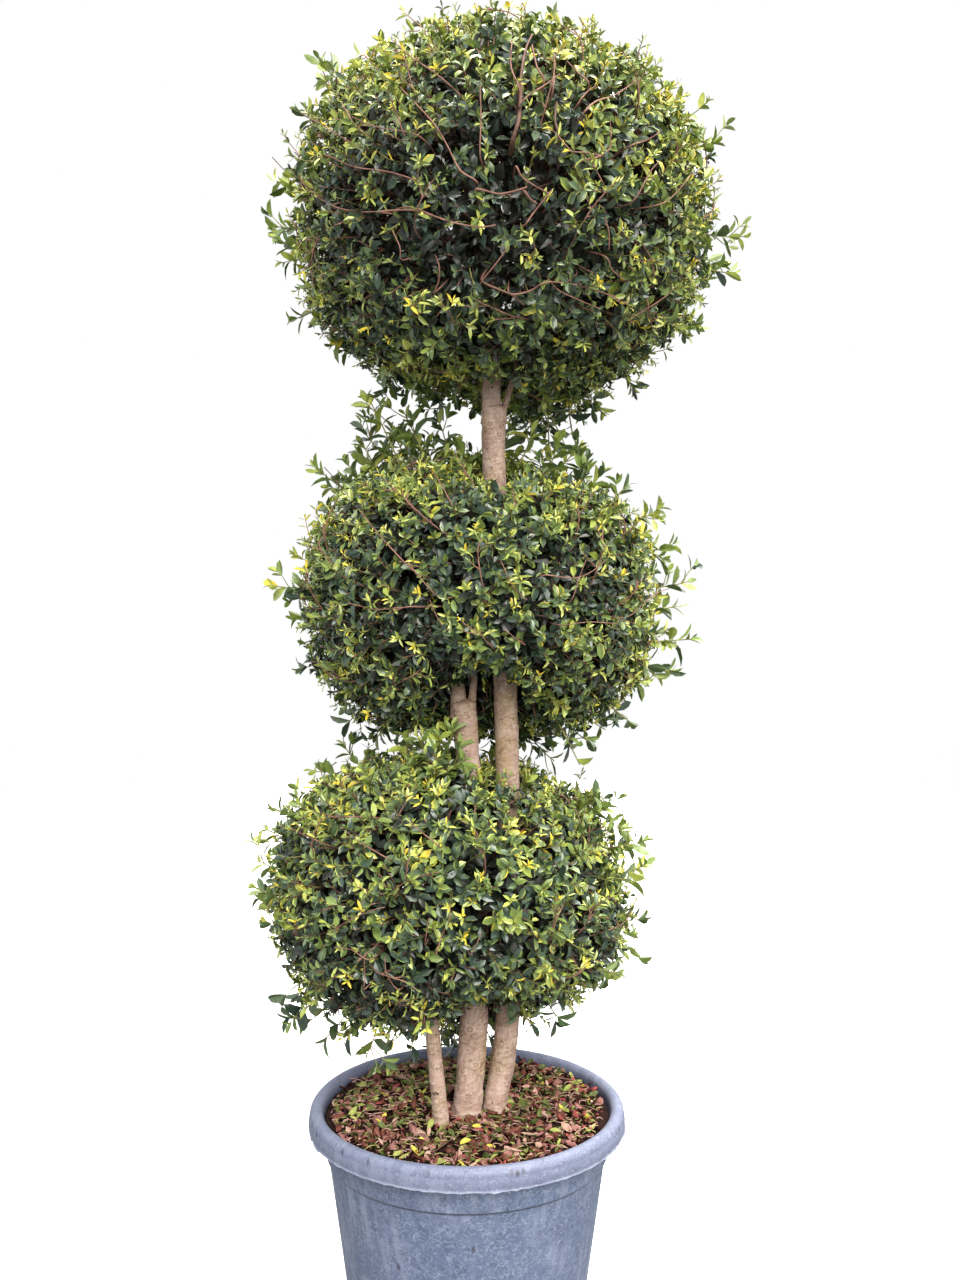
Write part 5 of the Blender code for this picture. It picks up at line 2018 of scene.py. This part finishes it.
        # The fringe is paler higher up as painted light and darker on the front as painted shade
        towards_front = (-ways["fringe"][:, 1]).clip(0, 1)
        tone = FRINGE_TONE + FRINGE_HEIGHT * ways["fringe"][:, 2] + FRINGE_PATCHES * noisy("fringe", 5)
        tone = tone - FRINGE_FRONT * towards_front + rng.normal(0, FRINGE_SPREAD, count["fringe"])
        size = FRINGE_SIZE - FRINGE_SHRINK * towards_front
        tone = tone.clip(None, PALEST_FRINGE)
        pairs("fringe", "fringe", tone, "pointed", size=size, facing=FRINGE_FACING)
        pairs("spurs", "runners", varied("spurs", *SPUR_TONE), "narrow")
        pairs("runners", "runners", varied("runners", *RUNNER_TONE), "narrow")
        return leaves

    def leaf_sprigs(self, leaves):
        """Leaves on the sprigs and on the twigs at their sides: darker, larger and fewer where they droop."""
        drooping = self.ways["sprigs"][:, 2] < DROOPING
        spread = self.rng.normal(0, SPRIG_SPREAD, len(drooping))
        tone = np.where(drooping, DROOPING_TONE, SPRIG_TONE) + spread
        spots = SPOTS["sprigs"]
        upright, hanging = (~drooping, spots, SPRIG_SIZE), (drooping, spots[1::2], DROOPING_SIZE)
        for kind, chosen, size in (upright, hanging):
            ways, tones = self.ways["sprigs"][kind], tone[kind]
            leaves.pairs(self.curves["sprigs"][kind], chosen, self.rng, tones, ways, "pointed", size, 0.0)
            sides = self.curves["sprig_sides"][np.repeat(kind, SPRIG_SIDES)]
            tones, ways = np.repeat(tones, SPRIG_SIDES), np.repeat(ways, SPRIG_SIDES, axis=0)
            leaves.pairs(sides, spots[:2], self.rng, tones, ways, "pointed", SPRIG_SIDE_SIZE * size, 0.0)


def build_ball(name, ball, woods, leaf_looks):
    """One ball: leaders from the limb's tip, twigs on those, shoots on the twigs and leaves on the shoots."""
    rng = np.random.default_rng(ball["seed"])
    growth = Growth(ball, rng)
    for piece, (slot, kinds, thick) in WOOD_PIECES.items():
        pile = Joined()
        for kind in kinds:
            add_tubes(pile, growth.curves[kind], *TUBES[kind], rng)
        if thick is not None:
            add_front_twigs(pile, name, ball, thick)
        pile.build(piece + "_" + name, woods[piece], slot, (name,))
    build_leaves(name, ball, growth.leafed(), leaf_looks)


def runner_curves(ball, rng):
    """Bare twigs that come out between the leaves and run outwards and upwards just over them."""
    aims = golden_directions(ball["runners"], JITTER["runners"], rng)
    aside = aims + RUNNER_UPWARD * UP + rng.normal(0, RUNNER_LOOSE, aims.shape)
    aside = unit(aside - aims * dots(aside, aims))
    sweep = rng.uniform(*RUNNER_SWEEP, (len(aims), 1))
    steps = []
    for share, far in RUNNER_STEPS:
        way = unit(aims + aside * sweep * share + rng.normal(0, RUNNER_WANDER, aims.shape))
        steps.append(on_ball(ball, way, np.full(len(aims), far)))
    curves = np.stack(steps, axis=1)
    keep = roomy(ball, curves, ROOM["runners"], RUNNER_ROOM_PLACES)
    ways = unit(curves[:, 3] - np.array(ball["centre"]))
    return curves[keep], ways[keep]


def on_front(ball, pixels, share):
    """Where the camera's lines through these pixels of the photograph meet the front of the ball."""
    focal = CAMERA_LENS / SENSOR_WIDTH * PHOTO_HEIGHT
    across = (pixels[:, 0] - PHOTO_WIDTH / 2) / focal
    up = (PHOTO_HEIGHT / 2 - pixels[:, 1]) / focal
    lines = np.stack((across, np.ones(len(pixels)), up), axis=1)
    eye = np.array(CAMERA_PLACE)
    middle = ball["centre"][1] - eye[1]
    low, high = np.full(len(pixels), middle - FRONT_DEPTH * ball["half_width"]), np.full(len(pixels), middle)
    for _ in range(HALVINGS):
        depth = (low + high) / 2
        outside = shares_of(ball, eye + lines * depth[:, None]) > share
        low, high = np.where(outside, depth, low), np.where(outside, high, depth)
    return eye + lines * high[:, None]


def add_front_twigs(pile, name, ball, thick):
    """Twigs that show on the front, thick or thin: each comes up from inside and runs through its places."""
    centre = np.array(ball["centre"])
    for radius, places in FRONT_TWIGS[name]:
        if (radius >= THICK_TWIG) != thick:
            continue
        seen = on_front(ball, np.array(places), FRONT_TWIG_SHARE)
        root = centre + (seen[0] - centre) * FRONT_TWIG_ROOT
        radii = [radius * (FRONT_TWIG_SWELL - FRONT_TWIG_TAPER * i / len(seen)) for i in range(len(seen) + 1)]
        spots = [(*point, thickness) for point, thickness in zip((root, *seen), radii)]
        line = evenly(smooth_line(spots, SMOOTHING), FRONT_TWIG_STEP)
        rings = tube_points(line[None, :, :3], line[None, :, 3], FRONT_TWIG_SIDES)
        pile.add(rings, tube_faces(len(line), FRONT_TWIG_SIDES))


def build_leaves(name, ball, leaves, leaf_looks):
    """The ball's leaves as one piece for each tone, without those that would touch a neighbour."""
    piles = {label: Joined() for label in LEAF_TONES}
    starts = [start for start, _, _ in LEAF_TONES.values()]
    rng = np.random.default_rng(ball["seed"] + 1)

    def sort_into_piles(shape, arrays):
        index = (np.digitize(arrays[-1], starts) - 1).clip(0, len(starts) - 1)
        for number, pile in enumerate(piles.values()):
            chosen = index == number
            if chosen.any():
                add_leaves(pile, shape, *(values[chosen] for values in arrays[:-1]))

    for shape, parts in leaves.parts.items():
        arrays = [np.concatenate(values) for values in zip(*parts)]
        roots, along, _, length = arrays[:4]
        keep = np.ones(len(roots), dtype=bool)
        for share in LEAF_ROOM_PLACES:
            keep &= has_room(ball, roots + along * (length * share)[:, None], ROOM["leaves"])
        arrays = [values[keep] for values in arrays]
        sort_into_piles(shape, arrays)
        # Some broad leaves get a paler strip along one edge, a painted highlight
        if shape == "broad":
            edged = rng.uniform(0, 1, len(arrays[0])) < HIGHLIGHT_EDGES
            roots, along, normal, length, width, curl, fold, shade = (values[edged] for values in arrays)
            width = width * rng.choice((-1.0, 1.0), len(width))
            highlight_tone = shade + EDGE_HIGHLIGHT_TONE + rng.normal(0, EDGE_SPREAD, len(shade))
            roots = roots + normal * EDGE_LIFT
            sort_into_piles("edge", (roots, along, normal, length, width, curl, fold, highlight_tone))
    for label, pile in piles.items():
        if pile.count:
            pile.build("leaves_" + name.split("_")[1] + "_" + label, leaf_looks[label], "leaves", (name,))


def main():
    build_stage()
    build_pot(pot_material())
    build_soil(litter_material("dark_mix", *SOIL_COLORS))
    build_litter()
    build_limbs(bark_material())
    woods = {
        "twigs": wood_material("dark_twig"),
        "runners": wood_material("red_brown_twig"),
        "shoots": wood_material("green_twig"),
    }
    leaf_looks = {
        label: leaf_material("leaf_" + label, color, roughness)
        for label, (_, color, roughness) in LEAF_TONES.items()
    }
    for name, ball in BALLS.items():
        build_ball(name, ball, woods, leaf_looks)


main()
